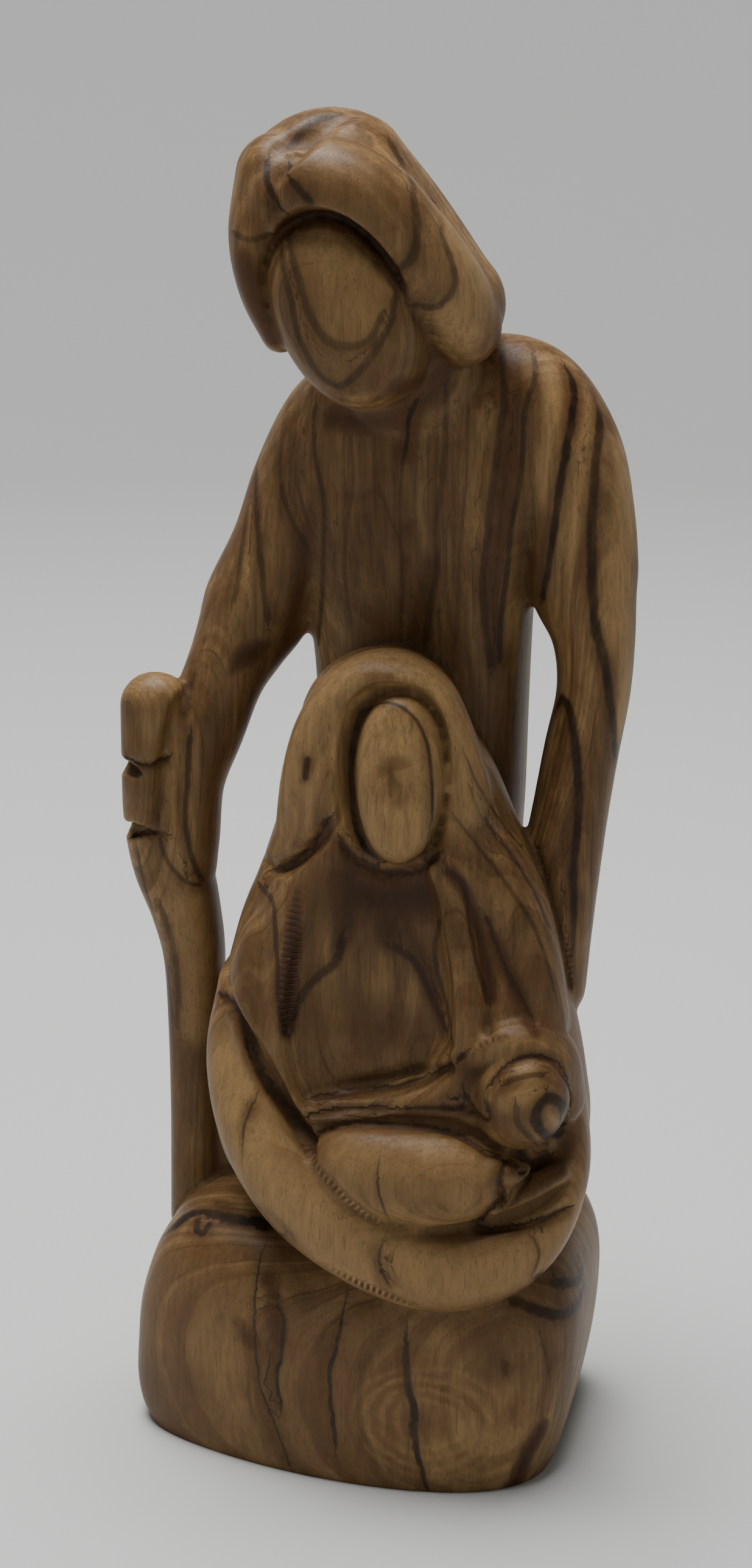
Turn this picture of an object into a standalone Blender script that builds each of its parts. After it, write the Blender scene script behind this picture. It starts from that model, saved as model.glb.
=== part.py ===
"""Olive wood holy family: a man with a staff bows over a seated mother and child, cut from one block."""

import math

import bmesh
import bpy
import numpy as np
from mathutils import Euler, Vector

# Driving dimensions, in metres.
STATUE_HEIGHT = 0.200
BASE_HEIGHT = 0.036
BASE_WIDTH = 0.0665
BASE_DEPTH = 0.048

# The base's outline from above: a sharp left side, a rounder right side, and how much its front
# falls back from its foremost place, as shares of the half depth and half width.
BASE_LEFT_SQUARENESS = 9.0
BASE_RIGHT_SQUARENESS = 5.0
BASE_FRONT_CURVE = 0.29
BASE_FRONT_MIDDLE = 0.30

# The figures are proportioned on a carver's grid: 164 squares from the top of the base to the crown,
# counted on from the base's own 36.
FIGURE_SQUARES = 164.0
FOOT_SQUARES = 36.0
SQUARE = (STATUE_HEIGHT - BASE_HEIGHT) / FIGURE_SQUARES

# A blank face: its outline's squareness, and how much fuller it is above.
FACE_SQUARENESS = 2.15
FACE_FULLNESS = 0.05

# The breast's hollow is deeper at its left wall: its turn in degrees.
HOLLOW_TWIST = -9.0

# How finely the forms are drawn, fused and faceted.
RING_POINTS = 40
RINGS_PER_SPAN = 6
DOME_RINGS = 5
FUSE_CELL = 0.0007
FUSE_SOFTENING = 1
FACET_COUNT = 9600
FOOT_SHAVING = 0.00012

OLIVE_BROWN = (0.36, 0.22, 0.11, 1.0)


def clear_scene():
    for obj in list(bpy.data.objects):
        bpy.data.objects.remove(obj, do_unlink=True)


def on_grid(x, y, z):
    """A point of the figures, in metres, from squares measured at the foot of the block's middle."""
    return Vector((x * SQUARE, y * SQUARE, BASE_HEIGHT + (z - FOOT_SQUARES) * SQUARE))


def smooth_values(values, samples_per_span):
    """Reads a Catmull-Rom curve through the rows of values."""
    rows = np.array(values, float)
    ends = np.vstack([2 * rows[0] - rows[1], rows, 2 * rows[-1] - rows[-2]])
    out = []
    for i in range(len(rows) - 1):
        a, b, c, d = ends[i : i + 4]
        for t in np.linspace(0, 1, samples_per_span, endpoint=False):
            out.append(
                0.5
                * (
                    2 * b
                    + (c - a) * t
                    + (2 * a - 5 * b + 4 * c - d) * t**2
                    + (3 * b - a - 3 * c + d) * t**3
                )
            )
    out.append(rows[-1])
    return np.array(out)


def superellipse(count, left_squareness, right_squareness):
    """Points round a unit outline: squareness 2 is a circle, and more is a rounded square."""
    points = []
    for i in range(count):
        angle = 2 * math.pi * i / count
        c, s = math.cos(angle), math.sin(angle)
        squareness = left_squareness if c < 0 else right_squareness
        reach = (abs(c) ** squareness + abs(s) ** squareness) ** (-1 / squareness)
        points.append((c * reach, s * reach))
    return points


def skin(name, rings):
    """Closes a stack of rings into one mesh object."""
    bm = bmesh.new()
    loops = [[bm.verts.new(p) for p in ring] for ring in rings]
    count = len(rings[0])
    for low, high in zip(loops, loops[1:]):
        for i in range(count):
            j = (i + 1) % count
            bm.faces.new((low[i], low[j], high[j], high[i]))
    bm.faces.new(list(reversed(loops[0])))
    bm.faces.new(loops[-1])
    bmesh.ops.recalc_face_normals(bm, faces=bm.faces)
    mesh = bpy.data.meshes.new(name)
    bm.to_mesh(mesh)
    bm.free()
    obj = bpy.data.objects.new(name, mesh)
    bpy.context.scene.collection.objects.link(obj)
    return obj


def limb(name, stations, squareness=2.0, dome=1.0, twist=0.0):
    """A swept form. Each station is (x, y, z, half width across the front, half depth), in squares.

    The ends are domed: dome is the dome's height as a share of the end's half depth. The twist, in
    degrees, turns the whole cross section on its sweep."""
    rows = smooth_values(stations, RINGS_PER_SPAN)
    middles = [on_grid(*row[:3]) for row in rows]
    outline = superellipse(RING_POINTS, squareness, squareness)
    lean_cos, lean_sin = math.cos(math.radians(twist)), math.sin(math.radians(twist))
    rings = []

    def ring(middle, tangent, half_width, half_depth):
        depth_axis = Vector((0, 1, 0))
        depth_axis = (depth_axis - tangent * depth_axis.dot(tangent)).normalized()
        width_axis = depth_axis.cross(tangent).normalized()
        points = []
        for u, v in outline:
            wide, deep = u * half_width * SQUARE, v * half_depth * SQUARE
            across = wide * lean_cos - deep * lean_sin
            inward = wide * lean_sin + deep * lean_cos
            points.append(middle + width_axis * across + depth_axis * inward)
        return points

    count = len(rows)
    for i, row in enumerate(rows):
        before, after = middles[max(i - 1, 0)], middles[min(i + 1, count - 1)]
        tangent = (after - before).normalized()
        if i == 0:
            for k in range(DOME_RINGS):
                angle = 0.5 * math.pi * (1 - (k + 0.3) / DOME_RINGS)
                back = tangent * (math.sin(angle) * min(row[3], row[4]) * dome * SQUARE)
                size = math.cos(angle)
                rings.append(ring(middles[0] - back, tangent, row[3] * size, row[4] * size))
        rings.append(ring(middles[i], tangent, row[3], row[4]))
        if i == count - 1:
            for k in reversed(range(DOME_RINGS)):
                angle = 0.5 * math.pi * (1 - (k + 0.3) / DOME_RINGS)
                ahead = tangent * (math.sin(angle) * min(row[3], row[4]) * dome * SQUARE)
                size = math.cos(angle)
                rings.append(ring(middles[i] + ahead, tangent, row[3] * size, row[4] * size))
    return skin(name, rings)


def egg(name, middle, radii, turn=(0, 0, 0), squareness=2.0):
    """An egg with its own tilt, in squares and degrees: above 2, the squareness fills its corners."""
    bm = bmesh.new()
    bmesh.ops.create_uvsphere(bm, u_segments=RING_POINTS, v_segments=RING_POINTS // 2, radius=1.0)
    tilt = Euler([math.radians(a) for a in turn]).to_matrix()
    centre = on_grid(*middle)
    for v in bm.verts:
        full = sum(abs(c) ** squareness for c in v.co) ** (-1 / squareness)
        shaped = Vector((v.co.x * radii[0], v.co.y * radii[1], v.co.z * radii[2]))
        v.co = centre + tilt @ (shaped * (full * SQUARE))
    mesh = bpy.data.meshes.new(name)
    bm.to_mesh(mesh)
    bm.free()
    obj = bpy.data.objects.new(name, mesh)
    bpy.context.scene.collection.objects.link(obj)
    return obj


def face_plate(name, middle, half_width, half_height, rise, turn, rounding):
    """A blank oval face, a little fuller above than below, standing proud of the hood.

    The rounding is low for a domed front and high for a flat one."""
    tilt = Euler([math.radians(a) for a in turn]).to_matrix()
    centre = on_grid(*middle)
    outline = superellipse(RING_POINTS, FACE_SQUARENESS, FACE_SQUARENESS)
    profile = [(1.0, 1.0), (0.5, 1.0), (0.0, 1.0)]
    for step in range(1, 2 * DOME_RINGS + 1):
        angle = 0.5 * math.pi * step / (2 * DOME_RINGS + 0.5)
        profile.append((-(math.sin(angle) ** (2 / rounding)), math.cos(angle) ** (2 / rounding)))
    rings = []
    for forward, size in profile:
        ring = []
        for u, v in outline:
            wide = half_width * size * u * (1 + FACE_FULLNESS * v)
            ring.append(centre + tilt @ (Vector((wide, forward * rise, half_height * size * v)) * SQUARE))
        rings.append(ring)
    return skin(name, rings)


def bake_modifiers(obj):
    """Replaces the object's mesh by what its modifiers make of it."""
    graph = bpy.context.evaluated_depsgraph_get()
    mesh = bpy.data.meshes.new_from_object(obj.evaluated_get(graph))
    obj.modifiers.clear()
    obj.data = mesh
    return obj


def carve(obj, *cutters):
    """Cuts the cutters out of the object."""
    for cutter in cutters:
        cut = obj.modifiers.new("carve", "BOOLEAN")
        cut.operation = "DIFFERENCE"
        cut.solver = "EXACT"
        cut.object = cutter
    bake_modifiers(obj)
    for cutter in cutters:
        bpy.data.objects.remove(cutter, do_unlink=True)
    return obj


def fuse(name, forms, softening=FUSE_SOFTENING):
    """Makes overlapping forms one skin, as wood has, and rubs its inner corners round."""
    bm = bmesh.new()
    for form in forms:
        bm.from_mesh(form.data)
        bpy.data.objects.remove(form, do_unlink=True)
    mesh = bpy.data.meshes.new(name)
    bm.to_mesh(mesh)
    bm.free()
    obj = bpy.data.objects.new(name, mesh)
    bpy.context.scene.collection.objects.link(obj)
    remesh = obj.modifiers.new("fuse", "REMESH")
    remesh.mode = "VOXEL"
    remesh.voxel_size = FUSE_CELL
    if softening:
        rub = obj.modifiers.new("rub", "SMOOTH")
        rub.factor = 0.5
        rub.iterations = softening
    return bake_modifiers(obj)


def press(obj, path, front, back):
    """Presses a groove into the front of a form, or raises a ridge where its depth is below zero.

    Each row of the path is (x, z, half width, depth), in squares, as seen from the front; front
    and back are the limits of the groove's reach, measured from the front."""
    mesh = obj.data
    count = len(mesh.vertices)
    points = np.empty(3 * count)
    mesh.vertices.foreach_get("co", points)
    points = points.reshape(-1, 3)
    normals = np.empty(3 * count)
    mesh.vertices.foreach_get("normal", normals)
    normals = normals.reshape(-1, 3)
    facing = np.clip(-3.0 * normals[:, 1], 0, 1)
    x, y = points[:, 0] / SQUARE, points[:, 1] / SQUARE
    z = (points[:, 2] - BASE_HEIGHT) / SQUARE + FOOT_SQUARES
    near = np.full(count, 9.9e9)
    width, depth = np.ones(count), np.zeros(count)
    rows = smooth_values(path, RINGS_PER_SPAN)
    for a, b in zip(rows, rows[1:]):
        run = b[:2] - a[:2]
        along = ((x - a[0]) * run[0] + (z - a[1]) * run[1]) / max(run @ run, 1e-9)
        along = np.clip(along, 0, 1)
        off = np.hypot(x - a[0] - along * run[0], z - a[1] - along * run[1])
        closer = off < near
        near = np.where(closer, off, near)
        width = np.where(closer, a[2] + along * (b[2] - a[2]), width)
        depth = np.where(closer, a[3] + along * (b[3] - a[3]), depth)
    share = np.clip(1 - near / np.maximum(width, 1e-6), 0, 1)
    share = share * share * (3 - 2 * share) * facing * ((y > front) & (y < back))
    points -= normals * (share * depth * SQUARE)[:, None]
    mesh.vertices.foreach_set("co", points.ravel())
    mesh.update()


def base_block():
    """The block under the figures: flat below, bulging in front, its left side leaning in."""
    half_w, half_d = 0.5 * BASE_WIDTH, 0.5 * BASE_DEPTH
    # Height, left, right, front and back, as shares of the height, half width and half depth.
    levels = [
        (-0.14, -0.96, 0.93, -0.96, 0.94),
        (0.00, -0.98, 0.95, -0.98, 0.95),
        (0.08, -1.02, 0.98, -1.01, 0.98),
        (0.20, -1.04, 1.01, -1.03, 1.00),
        (0.36, -1.03, 1.04, -1.04, 1.02),
        (0.55, -1.01, 1.06, -1.03, 1.02),
        (0.72, -0.96, 1.06, -1.00, 1.00),
        (0.85, -0.90, 1.03, -0.93, 0.96),
        (0.95, -0.80, 0.97, -0.80, 0.89),
        (1.02, -0.62, 0.84, -0.55, 0.76),
        (1.06, -0.35, 0.65, -0.25, 0.55),
    ]
    outline = superellipse(4 * RING_POINTS, BASE_LEFT_SQUARENESS, BASE_RIGHT_SQUARENESS)
    rings = []
    for z, left, right, front, back in smooth_values(levels, RINGS_PER_SPAN):
        mid_x, mid_y = 0.5 * (left + right), 0.5 * (front + back)
        reach_x, reach_y = 0.5 * (right - left), 0.5 * (back - front)
        ring = []
        for u, v in outline:
            x, y = mid_x + u * reach_x, mid_y + v * reach_y
            y += BASE_FRONT_CURVE * (x - BASE_FRONT_MIDDLE) ** 2 * 0.5 * (1 - v)
            ring.append((x * half_w, y * half_d, z * BASE_HEIGHT))
        rings.append(ring)
    return skin("base_block", rings)


def man_body():
    robe = limb("robe", [
        (6.5, 12.0, 22, 19.0, 11.0),
        (6.5, 12.0, 50, 17.0, 10.5),
        (6.5, 12.3, 80, 15.0, 10.0),
        (6.8, 12.0, 100, 15.4, 10.0),
        (6.8, 11.5, 120, 16.0, 10.0),
        (6.5, 10.0, 134, 17.5, 10.0),
        (6.5, 9.4, 148, 20.5, 10.4),
        (7.0, 8.8, 158, 18.0, 9.6),
    ], squareness=3.0, dome=0.8)
    left_arm = limb("left_shoulder_arm", [
        (14.0, 9.5, 160.0, 8.0, 8.0),
        (22.0, 10.0, 158.5, 8.6, 8.5),
        (27.8, 9.5, 151.2, 8.3, 8.5),
        (30.3, 8.5, 142.0, 8.0, 8.3),
        (31.1, 7.5, 133.0, 8.1, 8.0),
        (33.0, 6.5, 125.0, 6.1, 7.5),
        (33.2, 6.0, 117.0, 5.4, 7.2),
        (31.8, 5.0, 108.5, 5.5, 7.0),
        (30.6, 3.5, 100.0, 5.6, 6.8),
        (29.6, 2.0, 92.0, 5.8, 6.6),
        (28.9, 0.5, 82.0, 5.6, 6.5),
        (28.6, 0.0, 73.0, 5.2, 6.0),
    ])
    right_arm = limb("right_arm", [
        (0.0, 9.0, 158, 8.0, 7.5),
        (-5.5, 8.5, 154.5, 8.0, 7.5),
        (-10.5, 8.5, 146, 7.5, 7.2),
        (-13.5, 7.5, 136.0, 7.8, 7.0),
        (-17.3, 6.5, 127.0, 8.2, 6.8),
        (-19.8, 5.5, 121.5, 7.0, 6.5),
        (-22.0, 4.0, 116.5, 6.1, 6.2),
        (-24.6, 2.0, 109.0, 6.1, 5.8),
        (-26.6, 1.0, 101.0, 5.2, 5.4),
        (-27.2, 1.0, 93.0, 5.0, 5.2),
        (-27.6, 1.5, 87.0, 4.6, 5.0),
    ])
    yoke = limb("yoke", [
        (-5.0, 9.5, 153.0, 8.0, 8.0),
        (6.0, 9.0, 157.0, 9.0, 9.0),
        (20.0, 10.5, 157.5, 8.6, 8.6),
    ])
    return fuse("man_body", [robe, left_arm, right_arm, yoke], softening=6)


def staff():
    shaft = limb("staff", [
        (-28.3, 7.5, 28, 4.2, 5.5),
        (-28.2, 7.0, 45, 3.9, 5.0),
        (-27.8, 6.0, 60, 4.1, 5.0),
        (-27.4, 4.5, 72, 4.6, 5.0),
        (-28.2, 3.0, 80, 5.2, 5.0),
        (-29.6, 1.0, 88, 6.0, 5.0),
        (-30.6, -0.5, 96, 5.8, 5.0),
        (-30.9, -1.5, 105, 5.3, 4.8),
        (-30.9, -2.0, 113.6, 5.1, 4.6),
    ], squareness=2.4)
    carve(
        shaft,
        egg("upper_notch", (-37.4, -6.0, 104.6), (5.6, 7.0, 1.5), (0, 12, 20)),
        egg("lower_notch", (-37.2, -5.0, 93.4), (6.0, 7.0, 1.6), (0, -14, 20)),
    )
    web = limb("web", [
        (-20.0, 8.0, 26, 12.0, 4.0),
        (-18.0, 8.0, 50, 11.0, 3.5),
        (-17.0, 8.0, 64, 9.0, 3.0),
    ], squareness=3.0)
    return [shaft, web]


def man_head():
    crown = limb("crown", [
        (-3.6, -2.5, 186.3, 13.8, 13.8),
        (3.0, 0.5, 181.0, 11.2, 12.6),
        (12.0, 2.5, 172.8, 8.1, 9.6),
    ])
    brow = limb("brow", [
        (-10.5, -9.0, 186.5, 4.2, 6.0),
        (-6.0, -10.5, 190.0, 6.4, 7.5),
        (1.0, -10.5, 188.0, 7.6, 8.2),
        (7.4, -8.0, 181.3, 7.4, 8.2),
        (12.3, -4.0, 174.8, 6.6, 7.6),
        (14.6, -1.0, 170.5, 5.6, 6.6),
    ])
    left_lobe = limb("left_lobe", [
        (-10.1, -7.0, 191.0, 6.0, 7.0),
        (-11.8, -8.5, 183.0, 5.0, 7.0),
        (-11.6, -9.0, 176.0, 3.6, 6.5),
        (-9.4, -9.0, 169.5, 2.6, 5.0),
    ])
    hood = fuse("hood", [crown, brow, left_lobe], softening=6)
    carve(hood, egg("face_opening", (0.8, -19.5, 172.4), (10.6, 12.5, 16.4), (0, -27, 0), 2.2))
    neck = limb("neck", [
        (3.0, -2.0, 172.0, 9.0, 8.0),
        (6.0, 3.0, 164.0, 10.5, 8.5),
        (6.5, 8.5, 154.0, 13.0, 8.0),
    ])
    face = face_plate("man_face", (0.3, -10.5, 173.2), 9.7, 14.0, 8.6, (-3, -24, 0), 2.6)
    return [hood, neck, face]


def mother():
    cloak = limb("cloak", [
        (7.4, -5.5, 37, 20.0, 14.0),
        (7.5, -5.5, 44, 26.0, 16.0),
        (7.2, -5.5, 52, 28.3, 17.0),
        (6.8, -5.5, 60, 28.0, 17.2),
        (6.4, -5.5, 70, 26.6, 17.0),
        (6.3, -5.2, 80, 24.2, 16.2),
        (6.3, -5.0, 90, 21.0, 15.2),
        (5.6, -5.0, 100, 17.2, 14.2),
        (4.5, -5.0, 108, 14.4, 13.8),
        (4.1, -5.0, 113.5, 11.8, 12.5),
    ], squareness=2.3, dome=0.93)
    crescent = limb("crescent", [
        (-14.5, -8.0, 73.0, 5.5, 6.0),
        (-14.0, -11.5, 63.0, 7.0, 7.0),
        (-9.8, -15.5, 53.0, 8.0, 7.5),
        (-2.5, -19.0, 45.0, 8.2, 7.5),
        (8.0, -20.5, 38.6, 7.6, 7.0),
        (18.0, -20.0, 37.0, 7.6, 7.0),
        (26.0, -16.5, 40.5, 7.4, 7.0),
        (30.0, -11.0, 48.0, 6.4, 6.5),
        (30.3, -7.0, 58.0, 5.0, 6.0),
    ], squareness=2.4)
    hood_rim = limb("hood_rim", [
        (-7.4, -9.0, 97.0, 3.6, 5.0),
        (-5.6, -11.2, 107.0, 3.7, 5.2),
        (-3.2, -11.6, 114.8, 3.6, 5.8),
        (1.2, -11.2, 120.6, 3.5, 6.0),
        (6.8, -11.0, 122.4, 3.4, 6.0),
        (12.0, -11.0, 119.6, 3.4, 6.0),
        (15.4, -11.0, 112.5, 3.5, 5.8),
        (17.8, -10.6, 103.5, 3.6, 5.4),
    ])
    right_arm = limb("mother_right_arm", [
        (-6.0, -8.0, 91.0, 4.6, 5.5),
        (-11.5, -11.0, 81.0, 4.6, 6.5),
        (-13.0, -13.0, 70.0, 4.2, 6.5),
        (-9.0, -15.0, 61.0, 3.6, 5.5),
    ])
    left_sleeve = limb("mother_left_sleeve", [
        (22.0, -8.0, 96.0, 3.4, 6.0),
        (25.5, -9.5, 88.0, 4.0, 6.0),
        (27.5, -10.5, 79.0, 4.4, 6.0),
        (28.6, -11.0, 71.0, 4.4, 6.0),
    ])
    wrap = fuse("mother_wrap", [cloak, crescent, hood_rim, right_arm, left_sleeve], softening=5)
    hollow = limb("hollow", [
        (8.2, -24.5, 99.0, 7.0, 8.0),
        (7.2, -25.0, 93.5, 9.6, 9.0),
        (5.6, -25.2, 84.0, 12.6, 9.6),
        (5.0, -25.2, 76.0, 13.6, 9.8),
        (5.0, -25.2, 68.0, 13.6, 9.6),
        (6.4, -25.0, 63.0, 12.4, 9.0),
    ], squareness=2.9, dome=0.4, twist=HOLLOW_TWIST)
    hood_opening = egg("hood_opening", (8.3, -19.6, 108.6), (8.7, 6.2, 14.4), (-8, 0, 8), 2.6)
    carve(wrap, hollow, hood_opening)
    left_arm = limb("mother_left_arm", [
        (14.5, -12.0, 94.0, 2.6, 5.0),
        (17.2, -13.5, 87.0, 3.0, 5.0),
        (18.6, -14.0, 79.0, 3.0, 5.0),
        (19.8, -14.5, 69.0, 3.2, 5.0),
    ])
    shawl = limb("shawl", [
        (13.0, -13.0, 62.0, 2.6, 4.0),
        (17.0, -15.0, 66.0, 3.4, 5.0),
        (21.5, -16.5, 69.6, 3.6, 5.2),
        (27.0, -16.0, 70.6, 3.6, 5.4),
        (31.2, -13.5, 67.0, 3.4, 5.4),
        (32.4, -11.0, 60.0, 3.2, 5.4),
    ])
    forearm = limb("forearm", [
        (-6.0, -15.5, 59.0, 2.8, 4.0),
        (2.0, -17.0, 59.0, 2.6, 4.2),
        (10.0, -17.5, 60.5, 2.8, 4.2),
        (18.0, -17.0, 63.5, 3.6, 4.6),
    ])
    lower_fold = limb("lower_fold", [
        (17.0, -19.5, 45.0, 2.4, 4.5),
        (24.0, -18.5, 46.5, 2.8, 4.8),
        (31.0, -14.0, 49.5, 2.8, 5.0),
    ])
    arms = fuse("mother_arms", [left_arm, shawl, forearm, lower_fold], softening=2)
    face = face_plate("mother_face", (8.6, -13.8, 108.0), 6.3, 12.3, 6.4, (-9, 0, 8), 4.0)
    face_lip = face_plate("face_lip", (8.6, -12.0, 108.0), 6.9, 12.9, 5.0, (-9, 0, 8), 4.0)
    swaddle = egg("swaddle", (11.0, -20.0, 50.6), (14.8, 8.2, 7.8), (0, 3, 0), 2.3)
    swaddle_tip = limb("swaddle_tip", [
        (20.0, -20.5, 51.5, 4.5, 5.5),
        (25.5, -21.0, 52.0, 2.6, 3.8),
        (28.2, -20.5, 52.2, 1.0, 2.0),
    ])
    child_head = egg("child_head", (27.3, -18.2, 62.8), (7.0, 7.2, 8.0), (0, 10, 0))
    return [wrap, arms, face, face_lip, swaddle, swaddle_tip, child_head]


def wood_material():
    material = bpy.data.materials.new("olive_wood")
    material.use_nodes = True
    shader = material.node_tree.nodes["Principled BSDF"]
    shader.inputs["Base Color"].default_value = OLIVE_BROWN
    shader.inputs["Roughness"].default_value = 0.45
    shader.inputs["Metallic"].default_value = 0.0
    return material


def slice_flat(obj):
    """Cuts the underside off flat at the floor, and closes it."""
    bm = bmesh.new()
    bm.from_mesh(obj.data)
    cut = bmesh.ops.bisect_plane(
        bm,
        geom=bm.verts[:] + bm.edges[:] + bm.faces[:],
        plane_co=(0, 0, 0),
        plane_no=(0, 0, -1),
        clear_outer=True,
    )
    rim = [e for e in cut["geom_cut"] if isinstance(e, bmesh.types.BMEdge)]
    bmesh.ops.contextual_create(bm, geom=rim)
    bmesh.ops.recalc_face_normals(bm, faces=bm.faces)
    bm.to_mesh(obj.data)
    bm.free()


def flatten_foot(obj):
    """Lays the corners that are within a shaving of the floor on it."""
    for v in obj.data.vertices:
        if v.co.z < FOOT_SHAVING:
            v.co.z = 0.0


def carve_creases(statue):
    """The knife's longer creases, seen from the front: (x, z, half width, depth) along each."""
    creases = [
        # The fold of the headcloth, from the crown down to the left end of the brow.
        [(0.5, 200.0, 1.6, 0.4), (-5.0, 196.5, 2.6, 2.0), (-8.8, 192.6, 2.8, 2.6), (-8.8, 186.8, 1.6, 1.0)],
        # Between the staff's knob and the hand that holds it.
        [
            (-25.5, 117.5, 1.2, 0.3), (-27.4, 110.0, 2.2, 1.5),
            (-29.0, 102.0, 2.4, 1.6), (-31.0, 94.0, 1.4, 0.6),
        ],
        # Under the hood, over the mother's right shoulder.
        [(-12.5, 92.8, 1.2, 0.4), (-8.0, 94.0, 2.0, 1.4), (-3.0, 98.5, 2.0, 1.4), (0.0, 102.0, 1.4, 0.6)],
        # The edge of the right sleeve over the cloak's lower roll.
        [(-18.5, 76.5, 1.6, 0.6), (-12.5, 67.5, 2.4, 1.6), (-6.5, 58.5, 2.4, 2.0), (-3.0, 53.5, 1.8, 1.2)],
        # Between the breast and the forearm.
        [(-4.0, 60.8, 1.2, 0.3), (4.0, 62.0, 1.6, 0.8), (12.0, 64.2, 1.6, 0.9), (18.0, 67.0, 1.2, 0.4)],
        # Between the forearm and the swaddled child.
        [(-3.0, 56.5, 1.0, 0.4), (6.0, 58.8, 1.6, 0.9), (16.0, 59.0, 1.6, 0.9), (22.0, 57.0, 1.2, 0.6)],
        # Between the left arm's fold and the cloak.
        [(17.5, 95.0, 1.2, 0.3), (21.2, 87.0, 2.2, 1.5), (22.7, 79.0, 2.2, 1.6), (22.6, 73.0, 1.4, 0.8)],
        # Between the lower fold and the cloak's roll.
        [(14.0, 42.8, 1.2, 0.4), (22.0, 43.8, 1.8, 1.2), (30.0, 46.2, 1.8, 1.2), (34.0, 49.0, 1.0, 0.3)],
    ]
    for crease in creases:
        press(statue, crease, front=-30.0, back=3.0)


def main():
    clear_scene()
    forms = [base_block(), man_body()] + staff() + man_head() + mother()
    statue = fuse("holy_family", forms)
    carve_creases(statue)
    slice_flat(statue)
    facet = statue.modifiers.new("facet", "DECIMATE")
    facet.ratio = FACET_COUNT / sum(len(face.vertices) - 2 for face in statue.data.polygons)
    bake_modifiers(statue)
    flatten_foot(statue)
    statue.data.materials.append(wood_material())
    statue.data.shade_smooth()


main()
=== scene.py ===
import math

import bmesh
import bpy
import numpy as np
from mathutils import Euler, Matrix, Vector
from mathutils.bvhtree import BVHTree


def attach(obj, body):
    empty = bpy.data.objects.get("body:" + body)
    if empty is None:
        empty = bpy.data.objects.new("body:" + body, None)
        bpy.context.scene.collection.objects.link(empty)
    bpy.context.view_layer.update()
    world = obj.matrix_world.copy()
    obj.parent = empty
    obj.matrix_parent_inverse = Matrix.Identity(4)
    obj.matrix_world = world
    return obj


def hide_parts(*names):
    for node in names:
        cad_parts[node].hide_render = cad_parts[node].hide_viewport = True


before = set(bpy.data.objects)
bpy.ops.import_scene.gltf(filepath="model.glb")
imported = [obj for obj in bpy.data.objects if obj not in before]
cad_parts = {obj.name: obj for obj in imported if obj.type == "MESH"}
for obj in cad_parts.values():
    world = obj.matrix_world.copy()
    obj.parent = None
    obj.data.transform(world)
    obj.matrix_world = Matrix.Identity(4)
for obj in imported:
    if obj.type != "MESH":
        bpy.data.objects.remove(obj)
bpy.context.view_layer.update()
print("frame loaded:", sorted(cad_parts))

# Sizes and finish of the carving. Figures are drawn in squares of a millimetre on the 200 mm carving.
carving = {
    "square": 0.001,
    "baseSquares": 36.0,
    "baseHeight": 0.036,
    "baseWidth": 0.0665,
    "baseDepth": 0.048,
    "baseFrontCurve": 0.29,
    "baseFrontMiddle": 0.30,
    "baseSquareness": (9.0, 5.0),  # left and right
    "hollowTwist": -9.0,
    "faceSquareness": 2.15,
    "faceFullness": 0.05,
    "ringPoints": 56,
    "ringsPerSpan": 8,
    "domeRings": 7,
    "cell": 0.0005,
    "quickCell": 0.0008,
    "rubCell": 0.0007,
    "triangles": 190000,
    "footSnap": 0.00012,
}
square = carving["square"]


def onGrid(x, y, z):
    return Vector((x * square, y * square, carving["baseHeight"] + (z - carving["baseSquares"]) * square))


def smoothRows(values, perSpan):
    # Catmull-Rom curve through the rows
    rows = np.array(values, float)
    ends = np.vstack([2 * rows[0] - rows[1], rows, 2 * rows[-1] - rows[-2]])
    out = []
    for i in range(len(rows) - 1):
        a, b, c, d = ends[i : i + 4]
        for t in np.linspace(0, 1, perSpan, endpoint=False):
            cubic = (3 * b - a - 3 * c + d) * t**3
            out.append(0.5 * (2 * b + (c - a) * t + (2 * a - 5 * b + 4 * c - d) * t**2 + cubic))
    out.append(rows[-1])
    return np.array(out)


def roundedOutline(count, leftSquareness, rightSquareness):
    points = []
    for i in range(count):
        angle = 2 * math.pi * i / count
        c, s = math.cos(angle), math.sin(angle)
        power = leftSquareness if c < 0 else rightSquareness
        reach = (abs(c) ** power + abs(s) ** power) ** (-1 / power)
        points.append((c * reach, s * reach))
    return points


def newObject(name, bm):
    mesh = bpy.data.meshes.new(name)
    bm.to_mesh(mesh)
    bm.free()
    obj = bpy.data.objects.new(name, mesh)
    bpy.context.scene.collection.objects.link(obj)
    return obj


def skin(name, rings):
    bm = bmesh.new()
    loops = [[bm.verts.new(p) for p in ring] for ring in rings]
    count = len(rings[0])
    for low, high in zip(loops, loops[1:]):
        for i in range(count):
            j = (i + 1) % count
            bm.faces.new((low[i], low[j], high[j], high[i]))
    bm.faces.new(list(reversed(loops[0])))
    bm.faces.new(loops[-1])
    bmesh.ops.recalc_face_normals(bm, faces=bm.faces)
    return newObject(name, bm)


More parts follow.
